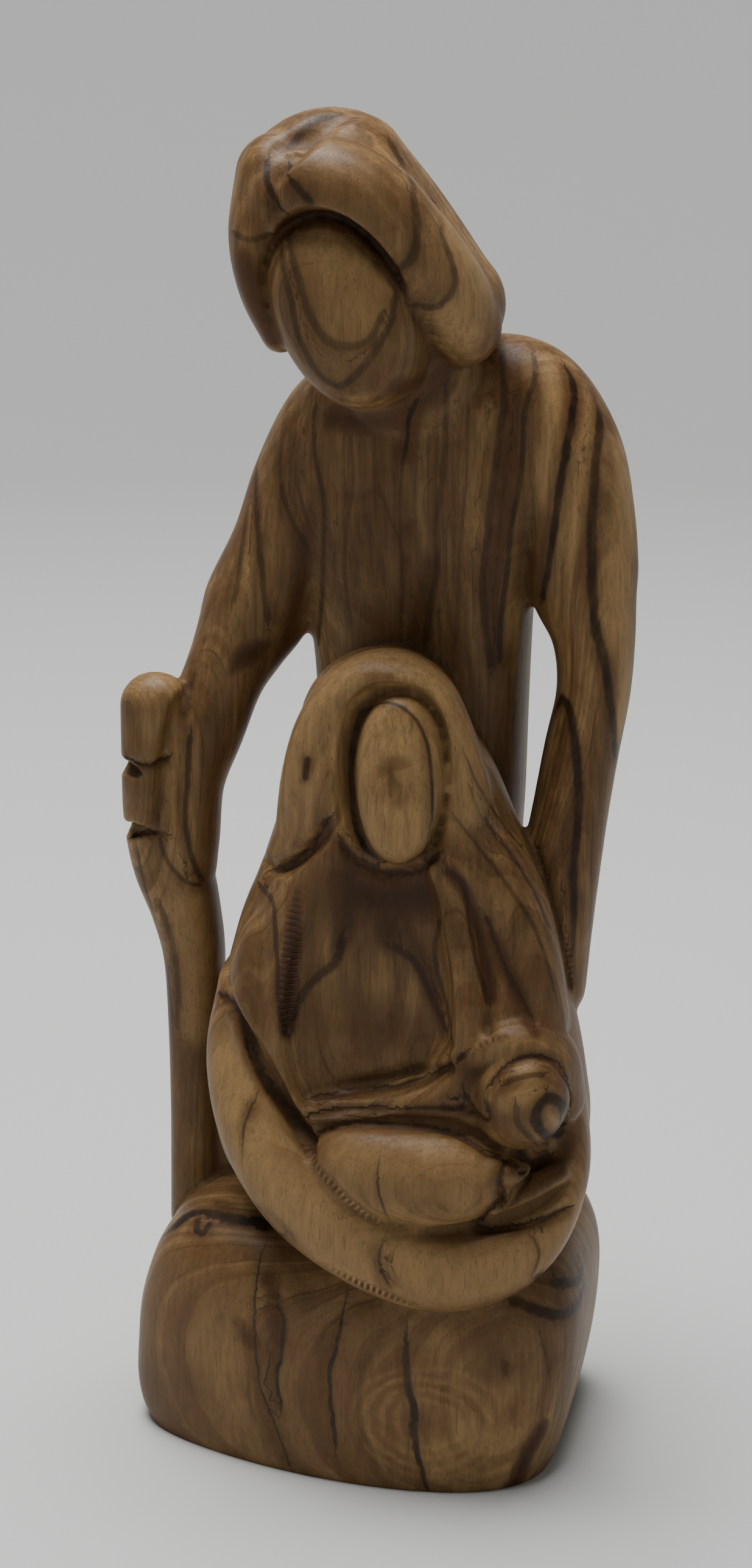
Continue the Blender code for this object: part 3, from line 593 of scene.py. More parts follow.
# Dark lines, mostly of the grain, with the brow line and the line under the mother's chin painted shadow:
# the drawing each is on, its half width, strength and points.
darkGrain = {
    "gown left": mark("gown", 0.45, 0.55,
        (207, 160), (203, 230), (212, 320), (228, 390), (228, 500), (222, 640), (215, 740)),
    "gown middle": mark("gown", 0.25, 0.4,
        (455, 150, 0.45, 0.9), (437, 190, 0.4, 0.9), (430, 260, 0.35, 0.8), (418, 330), (415, 450),
        (420, 560, 0.3, 0.45), (418, 740, 0.3, 0.3)),
    "gown right": mark("gown", 0.52, 0.45,
        (528, 125), (528, 200), (520, 330), (508, 420), (507, 560), (490, 650), (480, 740)),
    "band left edge": mark("gown", 0.59, 0.55,
        (668, 40), (672, 130), (660, 250), (640, 380), (632, 480), (620, 580), (625, 700), (640, 800)),
    "band right edge": mark("gown", 0.45, 0.6,
        (745, 40), (750, 85), (735, 130), (722, 180), (718, 280), (708, 360), (690, 460), (680, 560),
        (665, 680), (660, 790)),
    "shoulder line": mark("gown", 0.65, 0.95,
        (820, 60, 0.3, 0.6), (843, 110), (840, 180), (825, 270), (808, 360), (795, 460), (780, 560),
        (768, 630)),
    "outer arm": mark("farArm", 0.78, 0.85,
        (160, 105, 0.3, 0.5), (165, 130), (158, 200), (152, 300), (153, 400), (158, 470), (175, 540),
        (185, 610), (190, 680)),
    "gown streak left": mark("gown", 0.35, 0.3, (292, 225), (300, 345), (278, 525), (292, 675)),
    "gown streak right": mark("gown", 0.3, 0.3, (585, 165), (578, 345), (562, 525), (555, 735)),
    "sleeve curve outer": mark("gown", 0.4, 0.45,
        (130, 240, 0.3, 0.2), (120, 330), (140, 420), (185, 505)),
    "sleeve curve inner": mark("gown", 0.35, 0.35,
        (165, 250, 0.3, 0.2), (160, 340), (180, 420), (198, 470)),
    "right arm inner": mark("gown", 0.52, 0.6, (62, 330), (60, 400), (68, 500), (78, 600), (90, 690)),
    "right arm outer": mark("gown", 0.52, 0.5, (40, 420), (28, 500), (20, 570), (5, 640)),
    "elbow line": mark("farArm", 0.72, 0.85,
        (97, 598), (104, 588), (118, 615), (128, 700), (130, 780), (122, 860), (122, 940),
        (120, 1010, 0.3, 0.5)),
    "sleeve joint": mark("farArm", 0.45, 0.6, (62, 835), (75, 880), (95, 950), (110, 1010), (118, 1060)),
    "hood left": mark("head", 0.45, 0.6, (8, 205), (30, 214), (62, 206)),
    "hood fold": mark("head", 0.5, 0.85, (60, 88), (58, 115), (70, 142), (84, 165)),
    "hood fold band": mark("head", 0.6, 0.8, (98, 95), (103, 122), (128, 150)),
    "panel edge": mark("head", 0.78, 0.6,
        (262, 55), (285, 100), (300, 150), (305, 200), (300, 235), (285, 256), (266, 262)),
    "lobe": mark("head", 0.59, 0.6,
        (330, 150), (345, 200), (360, 245), (368, 280), (355, 310), (330, 325), (303, 322)),
    # painted shadow in the gap under the overhanging brow
    "brow": mark("head", 0.75, 0.95,
        (92, 190, 0.4, 0.6), (120, 174), (160, 172), (200, 190), (240, 226), (268, 264),
        (282, 296, 0.4, 0.6)),
    "face inner": mark("head", 0.65, 0.5,
        (95, 208), (108, 270), (130, 340), (165, 385), (215, 386), (238, 362), (250, 335)),
    "face outer": mark("head", 0.59, 0.55,
        (82, 225), (95, 300), (110, 370), (140, 430), (175, 455), (210, 430), (240, 390), (262, 345),
        (268, 310)),
    "crown": mark("head", 0.6, 0.8, (165, 12), (130, 22), (112, 44), (96, 62)),
    "mother face left": mark("mother", 0.5, 1,
        (285, 119, 0.25, 0.6), (266, 132), (252, 175), (248, 240), (252, 300), (268, 350),
        (290, 370, 0.3, 0.8)),
    "mother face right": mark("mother", 0.28, 0.75,
        (285, 119), (305, 114), (330, 122), (355, 145), (372, 185), (379, 240), (380, 300), (370, 352),
        (345, 374), (300, 376)),
    # painted shadow under the mother's chin, where the knife also cut
    "chin shadow line": mark("mother", 0.7, 0.8,
        (232, 345), (250, 372), (285, 392), (325, 397), (362, 388), (384, 368)),
    "shoulder crease": mark("mother", 0.56, 0.85,
        (108, 394, 0.3, 0.6), (150, 378), (185, 350), (200, 320), (210, 306)),
    "hood right": mark("mother", 0.3, 0.55, (432, 195, 0.2, 0.3), (455, 250), (490, 305), (525, 350)),
    "hood right low": mark("mother", 0.4, 0.6,
        (440, 250, 0.2, 0.3), (470, 310), (510, 365), (545, 420), (570, 480)),
    "cloak streak": mark("mother", 0.35, 0.5,
        (415, 300, 0.2, 0.3), (455, 350), (500, 410), (540, 470), (565, 530), (580, 590)),
    "chest left": mark("mother", 0.7, 0.75, (232, 500), (222, 540), (195, 562), (168, 590), (152, 632)),
    "chest right": mark("mother", 0.7, 0.6, (320, 515), (350, 540), (370, 575), (385, 610), (402, 650)),
    "wall edge": mark("mother", 0.49, 0.7,
        (97, 415), (118, 440), (122, 490), (126, 550), (130, 620), (140, 655)),
    "lap edge": mark("mother", 0.95, 1,
        (36, 598), (60, 620), (75, 650), (90, 700), (110, 738), (150, 790), (185, 832)),
    "chest crease": mark("mother", 0.49, 0.85,
        (190, 762), (260, 750), (330, 742), (395, 718), (430, 695)),
    "arm inner": mark("mother", 0.56, 0.6, (405, 392), (432, 412), (440, 470), (452, 540), (470, 600)),
    "arm outer": mark("mother", 0.49, 0.55, (470, 470), (495, 540), (520, 590), (545, 640)),
    "chest arm": mark("mother", 0.56, 0.6, (392, 475), (384, 520), (392, 570), (405, 620), (412, 680)),
    "forearm": mark("lap", 0.49, 0.9,
        (182, 192), (240, 181), (330, 183), (425, 180), (450, 190), (472, 200), (468, 180)),
    "forearm hook": mark("lap", 0.42, 0.8, (436, 158), (446, 178), (460, 192)),
    "swaddle top": mark("lap", 0.42, 0.7,
        (190, 222), (230, 208), (300, 205), (360, 212), (420, 225), (470, 255), (500, 262), (526, 284)),
    "swaddle end": mark("lap", 0.56, 0.9,
        (500, 262, 0.25, 0.6), (490, 300), (496, 325), (480, 345), (455, 372), (480, 380), (540, 370),
        (600, 346)),
    "swaddle tip": mark("lap", 0.42, 0.6, (528, 286), (540, 292), (530, 312), (508, 342)),
    "under child": mark("lap", 0.84, 0.9, (527, 262), (545, 274), (568, 262)),
    "shawl edge": mark("lap", 0.56, 0.85,
        (476, 142), (500, 112), (540, 96), (575, 102), (598, 128), (606, 170)),
    "child ring": mark("lap", 0.91, 1,
        (556, 176), (570, 164), (590, 172), (596, 200), (585, 222), (566, 225), (552, 208), (550, 190),
        (556, 176)),
    "child brow": mark("lap", 0.49, 0.6, (500, 140), (525, 130), (560, 125)),
    "child cheek": mark("lap", 0.56, 0.6, (518, 180), (520, 205), (540, 228), (566, 236)),
    "lap right": mark("lap", 0.3, 0.5, (546, 395), (556, 420), (546, 450)),
    "base band": mark("base", 1.15, 1,
        (98, 182, 0.3, 0.6), (130, 152), (160, 132), (220, 137), (280, 148), (330, 158),
        (372, 180, 0.3, 0.6)),
    "base band drip": mark("base", 0.6, 0.9, (178, 140), (172, 165), (186, 178), (200, 158)),
    "base swirl": mark("base", 0.85, 0.85,
        (1050, 232), (1058, 260), (1046, 288), (1000, 290), (955, 276)),
    "base swirl low": mark("base", 0.9, 0.85,
        (900, 330), (950, 352), (1010, 365), (1046, 342), (1062, 300)),
    "base side": mark("base", 0.3, 0.5, (1062, 330), (1062, 400), (1048, 470), (1030, 540)),
    "hand": mark("staff", 0.45, 0.7, (132, 160), (128, 230), (125, 300), (135, 360), (152, 396)),
    "hand low": mark("staff", 0.4, 0.55, (80, 290), (85, 340), (100, 372), (122, 396), (148, 403)),
    "upper notch": mark("staff", 0.4, 0.9, (32, 198), (60, 208), (90, 196)),
    "lower notch": mark("staff", 0.4, 0.9, (42, 322), (60, 316), (86, 320)),
    "staff edge": mark("staff", 0.35, 0.6, (46, 350), (62, 420), (98, 570), (104, 640)),
    "staff band": mark("staff", 0.6, 0.5, (85, 440), (102, 500), (112, 560), (110, 640)),
}

# The dark lines that the knife also cut in.
knifeLines = (
    "shoulder crease", "lap edge", "chest crease", "forearm", "swaddle top", "swaddle end", "swaddle tip",
    "shawl edge", "under child", "upper notch", "lower notch", "chin shadow line", "sleeve joint", "arm outer",
)

dryingCracks = {
    "left": mark("base", 0.22, 0.9,
        (335, 190, 0.1, 0.3), (312, 270), (305, 360), (308, 450), (320, 540), (350, 610),
        (385, 706, 0.2, 0.9)),
    "left wide": mark("base", 0.4, 1,
        (362, 290, 0.1, 0.4), (358, 340, 0.25, 1), (372, 380), (366, 460), (355, 500), (362, 560),
        (370, 604, 0.1, 0.3)),
    "middle": mark("base", 0.4, 1,
        (520, 310, 0.1, 0.4), (505, 380, 0.25, 1), (490, 450), (478, 490), (478, 550), (490, 640),
        (492, 694, 0.1, 0.4)),
    "filled": mark("base", 0.8, 1,
        (655, 372, 0.15, 0.4), (652, 430, 0.5, 1), (655, 480), (658, 540), (672, 580), (670, 640),
        (682, 690, 0.6, 1), (700, 762, 0.4, 1)),
    "right": mark("base", 0.1, 0.2, (955, 380), (970, 440, 0.15, 0.6), (985, 520)),
    "lap left": mark("lap", 0.1, 0.3, (97, 148), (85, 175, 0.25, 0.8), (70, 215, 0.25, 0.8), (68, 262)),
    "swaddle": mark("lap", 0.1, 0.3, (293, 262), (290, 300, 0.2, 0.7), (300, 345, 0.2, 0.7), (315, 372)),
    "lap": mark("lap", 0.1, 0.3, (300, 395), (292, 430, 0.4, 0.9), (300, 455, 0.4, 0.9), (314, 478)),
    "lap small": mark("lap", 0.1, 0.3, (318, 412), (312, 435, 0.2, 0.7), (318, 452)),
}

# Soft zones, above 0 darker and below 0 paler; most are tones of the wood, and those marked are painted
# shade or painted light.
softZones = {
    # painted shade under the hood's brow
    "brow": mark("head", 1.7, 1.6,
        (75, 222, 0.9, 0.7), (90, 190), (120, 173), (160, 172), (200, 190), (240, 227),
        (268, 268, 1.4, 1.2), (284, 302, 0.9, 0.7)),
    # painted shade under the hood's lobe
    "shade under lobe": mark("head", 1.8, 0.75, (300, 345), (330, 385), (352, 408)),
    "hood left": mark("head", 2.6, 0.8, (18, 250), (40, 320), (64, 372)),
    "crown": mark("head", 1.6, 0.45, (108, 52), (140, 24)),
    "neck": mark("head", 2.2, 0.8, (270, 455), (320, 445), (355, 425)),
    "head tone": mark("head", 12, -0.3, (190, 100), (230, 250), (330, 300)),
    "face pale": mark("head", 7.5, -0.55, (170, 215), (195, 290), (205, 360)),
    "lobe pale": mark("head", 6.5, -0.75, (370, 235), (400, 290), (380, 345)),
    "throat": mark("gown", 2.2, 0.85, (250, 190), (330, 200), (410, 190), (470, 150), (520, 110)),
    "middle dark": mark("gown", 1.7, 0.8, (452, 160), (440, 215), (425, 280)),
    "middle low": mark("gown", 2.4, 0.26, (440, 320), (430, 450), (440, 560)),
    # painted shade in the recess between the right arm and the robe
    "armpit": mark("gown", 2, 0.6, (120, 780), (150, 690), (172, 590), (190, 480), (205, 360, 1.2, 0.4)),
    "right arm pale": mark("gown", 2, -0.3,
        (75, 330), (60, 430, 3.2, -0.4), (45, 560, 3.2, -0.4), (10, 680)),
    "right arm band": mark("gown", 1.3, 0.4, (70, 380), (75, 480), (88, 570), (110, 690)),
    "red band": mark("gown", 2.2, 0.62,
        (694, 40), (702, 130), (690, 250), (675, 380), (660, 480), (645, 590), (645, 700), (655, 790)),
    "middle band": mark("gown", 2.2, 0.6, (500, 540), (475, 640), (455, 740)),
    "chest pink": mark("gown", 4, 0.2, (590, 150), (585, 360), (570, 600), (560, 760)),
    "left breast": mark("gown", 4.8, 0.04, (300, 330), (320, 500), (310, 720)),
    "armpit right": mark("gown", 2.6, 0.5, (715, 370, 1.6, 0.4), (735, 430), (740, 520), (730, 620)),
    "knot one": mark("gown", 0.6, 0.8, (430, 452), (432, 458)),
    "knot two": mark("gown", 0.6, 0.8, (424, 546), (425, 550)),
    "shoulder pale": mark("gown", 2.2, -0.75,
        (780, 50, 1.2, -0.4), (792, 130), (785, 250), (765, 380), (750, 500, 1.2, -0.4)),
    "stripe pale": mark("gown", 1.7, -0.7,
        (870, 110, 1, -0.4), (882, 220), (870, 340), (850, 450), (830, 560, 1, -0.4)),
    # painted highlight down the outer side of the far arm, here and just below
    "arm pale": mark("gown", 3.4, -0.8, (965, 280), (972, 400), (965, 560), (960, 740)),
    "arm pale low": mark("farArm", 2.4, -0.8, (200, 480), (206, 560), (196, 640)),
    "elbow": mark("staff", 1.8, 0.95, (200, 52, 1, 0.5), (218, 32), (240, 18), (262, 8, 1.2, 0.5)),
    "right arm brown": mark("staff", 4.2, 0.18, (250, -60), (240, 60), (215, 150), (170, 230)),
    "knob tone": mark("staff", 5, -0.4, (75, 60), (85, 160), (115, 260), (130, 360)),
    "staff low": mark("staff", 4, -0.68, (135, 440), (140, 520), (145, 640)),
    "staff lower": mark("staff", 2.6, 0.02, (130, 650), (132, 800), (136, 900)),
    # painted shade under the mother's chin, here and just below
    "chin shade": mark("mother", 4.2, 1.05, (255, 430), (310, 440), (365, 430)),
    "chin deep shade": mark("mother", 2.4, 1, (300, 470), (315, 500)),
    "chest dark": mark("mother", 3, 0.95, (245, 400), (240, 460), (228, 510, 1.6, 0.8)),
    "chest dark right": mark("mother", 2.2, 0.7, (330, 480), (370, 560), (395, 650, 1.4, 0.6)),
    "arm crease": mark("mother", 1.2, 0.8, (410, 392), (440, 440), (462, 520), (478, 600)),
    "arm crease two": mark("mother", 1.4, 0.8, (478, 500), (515, 580), (548, 655)),
    "wall": mark("mother", 1.5, 1.1, (160, 425, 0.8, 0.5), (152, 500), (144, 570), (142, 650)),
    "chest tone": mark("mother", 6.5, 0.36, (215, 620), (300, 640), (350, 640)),
    "right arm": mark("mother", 2.6, 0.35, (190, 400), (178, 470), (185, 560)),
    "hood side": mark("mother", 3, -0.45, (135, 320), (150, 250)),
    "hood pale": mark("mother", 5, -0.6,
        (150, 240), (215, 90), (300, 35), (385, 85), (420, 190), (430, 300)),
    "sleeve tone": mark("mother", 3.6, 0.34, (70, 500), (75, 590), (115, 690), (150, 740)),
    "cloak right": mark("mother", 2.6, 0.2, (480, 300), (520, 420), (560, 560)),
    # painted light lifting the shaded ring round the mother's face
    "ring painted light": mark("mother", 1.5, -0.9,
        (280, 96, 1.2, -0.5), (248, 122), (232, 170), (226, 240), (232, 310), (252, 352, 1.2, -0.4)),
    "plate pale": mark("mother", 4.6, -1.2, (312, 160), (315, 240), (318, 325)),
    "plate heart": mark("mother", 2.2, 1.75, (316, 225), (318, 262)),
    "spot": mark("mother", 0.7, 1.7, (175, 208), (173, 222), (171, 238)),
    "under arm": mark("lap", 1.2, 0.6, (198, 206), (300, 194), (400, 198), (452, 216), (492, 246)),
    "nest left": mark("lap", 2, 0.55, (440, 122), (455, 165), (470, 195, 1.2, 0.5)),
    "nest right": mark("lap", 1.8, 0.75, (600, 245), (590, 285), (545, 322)),
    "head pale": mark("lap", 2, -0.6, (505, 175), (540, 150), (530, 110)),
    "head heart": mark("lap", 1.5, -1.2, (575, 188), (577, 205)),
    "shawl": mark("lap", 1.6, 0.35, (470, 80), (520, 58), (580, 72)),
    "crescent pale": mark("lap", 6.5, -0.75,
        (55, 120), (80, 250), (150, 350), (240, 430), (340, 455), (440, 470), (530, 430), (585, 380)),
    "swaddle pale": mark("lap", 7.5, -0.45, (240, 265), (330, 285), (430, 305)),
    "rim brown": mark("lap", 1.5, 0.7, (290, 420), (305, 465)),
    "crescent brown": mark("lap", 0.8, 0.4, (95, 160), (76, 200, 1.2, 0.65), (68, 250)),
    "fold": mark("lap", 1.4, 0.3, (500, 350), (560, 325), (600, 312)),
    "base spot": mark("base", 1.4, 0.75, (880, 480), (888, 495)),
    "base glow": mark("base", 1.8, 0.6, (275, 390), (298, 430)),
    "crack glow": mark("base", 1.8, 0.7, (335, 280), (348, 330), (362, 420)),
    "base corner": mark("base", 1.8, 1, (905, 752), (925, 700), (965, 625)),
    "base corner two": mark("base", 2, 0.4, (1000, 520), (985, 560), (970, 600)),
    "base band": mark("base", 1.8, 0.6, (140, 120), (230, 110), (320, 130), (380, 180)),
    "base tone": mark("base", 14, 0.27,
        (110, 460, 12, 0.1), (400, 500), (700, 530), (960, 480, 14, 0.43)),
    "base right": mark("base", 1.6, 0.5, (1040, 240), (1000, 330), (1050, 345)),
}

# Rows of small gouge cuts left in the hollows.
gougeRows = {
    "wall": mark("mother", 1.8, 1,
        (160, 425, 1, 0.3), (152, 480), (146, 550), (141, 610), (141, 655, 1, 0.4)),
    "swaddle": mark("lap", 0.8, 0.3, (170, 240), (210, 300, 1.1, 0.9), (250, 340, 1.1, 0.9), (290, 368)),
    "rim": mark("base", 0.8, 0.2, (470, 250), (540, 290, 1.2, 1), (600, 315, 1.2, 1), (680, 345)),
    "head": mark("lap", 0.6, 0.2, (448, 85), (470, 72, 0.8, 0.6), (500, 66)),
    "sleeve": mark("mother", 0.8, 0.2, (590, 470), (605, 540, 1, 0.5), (615, 580)),
}


def viewpoint(look):
    # where the eye is, and its directions to the right, up and into the picture
    turn, pitch = math.radians(look["azimuth"]), math.radians(look["pitch"])
    right = Vector((math.cos(turn), math.sin(turn), 0))
    forward = Vector((-math.sin(turn) * math.cos(pitch), math.cos(turn) * math.cos(pitch), -math.sin(pitch)))
    out = look["distance"]
    eye = Vector((math.sin(turn) * out, -math.cos(turn) * out, look["height"])) + right * look["aside"]
    return eye, right, right.cross(forward), forward


def layOnWood(wood, marks):
    # carries each drawn point along the line of sight onto the wood; the rows come back with places in mm
    eye, right, up, forward = viewpoint(view)
    wide, high = view["photoWide"], view["photoHigh"]
    focal = 0.5 * high / math.tan(math.radians(view["angle"] / 2))
    laid = {}
    for name, rows in marks.items():
        laid[name] = []
        for across, down, *values in rows:
            ray = forward * focal + right * (across - wide / 2) - up * (down - high / 2)
            place = wood.ray_cast(eye, ray.normalized())[0]
            if place is not None:
                laid[name].append((*(place * 1000), *values))
    return laid


def nearLine(points, rows, reach):
    # distance to a drawn line, its side, the way along it, and the line's own values
    rows = smoothRows(rows, marking["stepsPerPoint"])
    low, high = rows[:, :3].min(0) - reach, rows[:, :3].max(0) + reach
    chosen = np.nonzero(np.all((points > low) & (points < high), axis=1))[0]
    near = points[chosen]
    best = np.full(len(chosen), np.inf)
    side, way = np.zeros(len(chosen)), np.zeros(len(chosen))
    values = np.zeros((len(chosen), rows.shape[1] - 3))
    gone = 0.0
    for a, b in zip(rows, rows[1:]):
        run = b[:3] - a[:3]
        length = max(np.linalg.norm(run), 1e-6)
        along = np.clip((near - a[:3]) @ run / length**2, 0, 1)
        away = near - a[:3] - along[:, None] * run
        off = np.linalg.norm(away, axis=1)
        closer = off < best
        best[closer] = off[closer]
        side[closer] = np.where(away[:, 0] * run[2] - away[:, 2] * run[0] < 0, -off, off)[closer]
        way[closer] = (gone + along * length)[closer]
        values[closer] = (a[3:] + along[:, None] * (b[3:] - a[3:]))[closer]
        gone += length
    return chosen, best, side, way, values


def store(obj, name, values):
    attribute = obj.data.attributes.new(name, "FLOAT", "POINT")
    attribute.data.foreach_set("value", values.astype(np.float32))


def drawLines(obj, name, lines):
    # how far each point is across the nearest line, in half widths, and how strong that line is
    points = meshArrays(obj.data)[0] * 1000
    reach, clear = marking["lineReach"], marking["clear"]
    across, strength = np.full(len(points), clear), np.zeros(len(points))
    nearest, second = np.full(len(points), marking["farOff"]), np.full(len(points), marking["farOff"])
    for rows in lines.values():
        chosen, off, side, way, values = nearLine(points, rows, reach + 1)
        closer = off < nearest[chosen]
        second[chosen] = np.minimum(second[chosen], np.where(closer, nearest[chosen], off))
        spot = chosen[closer]
        nearest[spot] = off[closer]
        halfWidth = np.maximum(values[closer, 0], marking["narrowest"])
        across[spot] = np.clip(side[closer] / halfWidth, -clear, clear)
        strength[spot] = values[closer, 1] * np.clip(2.5 * (1 - off[closer] / reach), 0, 1)
    store(obj, name + "Across", across)
    # where two lines meet, both fade before the nearest one changes
    store(obj, name + "Strength", strength * np.clip(2 * (second - nearest), 0, 1))


def drawZones(obj, zones):
    points = meshArrays(obj.data)[0] * 1000
    dark, pale = np.zeros(len(points)), np.zeros(len(points))
    for rows in zones.values():
        chosen, off, side, way, values = nearLine(points, rows, 2 * max(row[3] for row in rows))
        amount = values[:, 1] * np.exp(-((off / values[:, 0]) ** 2))
        dark[chosen] = np.maximum(dark[chosen], amount)
        pale[chosen] = np.minimum(pale[chosen], amount)
    store(obj, "zone", dark + pale)


def drawGouges(obj, lines):
    # how far along a row of cuts each point lies, and how well the row covers it
    points = meshArrays(obj.data)[0] * 1000
    way, cover = np.zeros(len(points)), np.zeros(len(points))
    for rows in lines.values():
        chosen, off, side, along, values = nearLine(points, rows, marking["gougeReach"])
        amount = values[:, 1] * np.clip(1.5 - 1.5 * off / values[:, 0], 0, 1)
        more = amount > cover[chosen]
        cover[chosen[more]] = amount[more]
        way[chosen[more]] = along[more]
    store(obj, "gougeWay", way)
    store(obj, "gougeCover", cover)


def drawHollows(obj):
    # how far each point lies below the smoothed form, in tenths of a mm; it sets the painted shade and the
    # duller finish in the hollows
    mesh = obj.data
    points, normals = meshArrays(mesh)
    edges = np.empty(2 * len(mesh.edges), dtype=np.int64)
    mesh.edges.foreach_get("vertices", edges)
    a, b = edges.reshape(-1, 2).T
    count = len(points)
    ties = np.bincount(a, minlength=count) + np.bincount(b, minlength=count)
    smooth = points.copy()
    for _ in range(marking["hollowRounds"]):
        total = np.empty_like(smooth)
        for axis in range(3):
            total[:, axis] = np.bincount(a, smooth[b, axis], count) + np.bincount(b, smooth[a, axis], count)
        smooth = 0.5 * smooth + 0.5 * total / np.maximum(ties, 1)[:, None]
    depth = ((smooth - points) * normals).sum(1) * 10000
    store(obj, "hollow", np.clip(depth, -6, 12))


def cutLines(obj, lines, depth, wider):
    # presses drawn lines into the wood; a line is cut a little wider than it is stained
    points, normals = meshArrays(obj.data)
    moved = points.copy()
    for rows in lines:
        chosen, off, side, way, values = nearLine(points * 1000, rows, marking["cutReach"])
        share = np.clip(1.2 - 1.2 * off / (values[:, 0] + wider), 0, 1) * values[:, 1]
        moved[chosen] -= normals[chosen] * (share * depth)[:, None]
    obj.data.vertices.foreach_set("co", moved.ravel())
    obj.data.update()


# Colours as they look in daylight, and places in mm.
oliveWood = {
    "pale": (0.312, 0.190, 0.079, 1),
    "tan": (0.156, 0.089, 0.037, 1),
    "brown": (0.076, 0.0335, 0.012, 1),
    "red": (0.120, 0.046, 0.015, 1),
    "deep": (0.032, 0.0125, 0.0042, 1),
    "dark": (0.011, 0.0055, 0.003, 1),
    # painted shade for the hollows
    "groove": (0.050, 0.024, 0.010, 1),
    "filler": (0.042, 0.028, 0.018, 1),
    "pithX": -3.0,
    "pithY": 46.0,
    "lean": 0.03,
    "warp": 6.0,
    "broadYears": 0.30,
    "narrowYears": 1.1,
    "calmBelow": 35.0,
    "livelyAbove": 110.0,
    "roughness": 0.42,
    "sheen": 0.17,
    "bumpStrength": 0.5,
    "bumpDistance": 0.00012,
    "gougePitch": 0.95,
    "ovalX": 15.0,
    "ovalZ": 12.0,
    "ovalWide": 11.6,
    "ovalHigh": 9.5,
    "ovalYears": 34.0,
    "ovalFront": -22.0,
    "grainWaver": 1.0,
    "grainEdge": 1.3,
    "crackWaver": 0.5,
    "crackEdge": 1.05,
}


def nodeGroup(name, inputs, outputs):
    group = bpy.data.node_groups.new(name, "ShaderNodeTree")
    for label, kind, default in inputs:
        socket = group.interface.new_socket(label, in_out="INPUT", socket_type=kind)
        if default is not None:
            socket.default_value = default
    for label, kind in outputs:
        group.interface.new_socket(label, in_out="OUTPUT", socket_type=kind)
    return group, group.nodes.new("NodeGroupInput"), group.nodes.new("NodeGroupOutput")


class Wires:
    # short hand for adding nodes to one tree
    def __init__(self, tree):
        self.tree = tree

    def node(self, kind, values=(), **settings):
        made = self.tree.nodes.new(kind)
        for key, value in settings.items():
            setattr(made, key, value)
        for key, value in dict(values).items():
            self.feed(made.inputs[key], value)
        return made

    def feed(self, socket, value):
        if isinstance(value, bpy.types.NodeSocket):
            self.tree.links.new(value, socket)
        else:
            socket.default_value = value

    def math(self, operation, a, b=0.0, c=0.0):
        values = {0: a, 1: b}
        if operation == "MULTIPLY_ADD":
            values[2] = c
        return self.node("ShaderNodeMath", values, operation=operation).outputs[0]

    def times(self, first, *others):
        for other in others:
            first = self.math("MULTIPLY", first, other)
        return first

    def vector(self, operation, a, b=(0, 0, 0)):
        return self.node("ShaderNodeVectorMath", {0: a, 1: b}, operation=operation)

    def offCentre(self, value):
        return self.math("SUBTRACT", value, 0.5)

    def fade(self, value, low, high, toLow=0.0, toHigh=1.0):
        made = self.node("ShaderNodeMapRange", {0: value, 1: low, 2: high, 3: toLow, 4: toHigh})
        made.interpolation_type = "SMOOTHSTEP"
        return made.outputs[0]

    def noise(self, place, scale, detail=2.0, rough=0.5, dims="3D"):
        values = {"Scale": scale, "Detail": detail, "Roughness": rough}
        made = self.node("ShaderNodeTexNoise", values, noise_dimensions=dims)
        self.feed(made.inputs["W" if dims == "1D" else "Vector"], place)
        return made.outputs[0]

    def mix(self, factor, a, b, blend="MIX"):
        made = self.node("ShaderNodeMix", {0: factor, 6: a, 7: b}, data_type="RGBA", blend_type=blend)
        return made.outputs[2]


def ringFigure():
    # growth rings round a pith behind the carving: how far out each point grew, in mm
    group, inn, out = nodeGroup(
        "ringFigure",
        [("Pith X", "NodeSocketFloat", 0.0), ("Pith Y", "NodeSocketFloat", 40.0),
         ("Lean", "NodeSocketFloat", 0.0), ("Warp", "NodeSocketFloat", 5.0)],
        [("Ring", "NodeSocketFloat"), ("Place", "NodeSocketVector"), ("Fibre", "NodeSocketVector")],
    )
    w = Wires(group)
    warp = inn.outputs["Warp"]
    metres = w.node("ShaderNodeTexCoord").outputs["Object"]
    place = w.vector("MULTIPLY", metres, (1000, 1000, 1000)).outputs[0]
    stretched = w.vector("MULTIPLY", place, (1, 1, 0.42)).outputs[0]
    spot = w.node("ShaderNodeSeparateXYZ", {0: place})
    slow = w.node("ShaderNodeTexNoise", {"Vector": stretched, "Scale": 0.020, "Detail": 1.0})
    slowOff = w.node("ShaderNodeSeparateXYZ", {0: slow.outputs["Color"]})
    ripple = w.offCentre(w.noise(stretched, 0.11))
    shift = w.times(w.math("SUBTRACT", spot.outputs[2], 100.0), inn.outputs["Lean"])
    x = w.math("SUBTRACT", w.math("SUBTRACT", spot.outputs[0], inn.outputs["Pith X"]), shift)
    y = w.math("SUBTRACT", spot.outputs[1], inn.outputs["Pith Y"])
    x = w.math("MULTIPLY_ADD", w.offCentre(slowOff.outputs[0]), warp, x)
    y = w.math("MULTIPLY_ADD", w.offCentre(slowOff.outputs[1]), warp, y)
    level = w.node("ShaderNodeCombineXYZ", {0: x, 1: y}).outputs[0]
    grown = w.vector("LENGTH", level).outputs["Value"]
    w.feed(out.inputs["Ring"], w.math("MULTIPLY_ADD", ripple, 1.2, grown))
    w.feed(out.inputs["Place"], place)
    w.feed(out.inputs["Fibre"], w.vector("MULTIPLY", place, (1, 1, 0.05)).outputs[0])
    return group


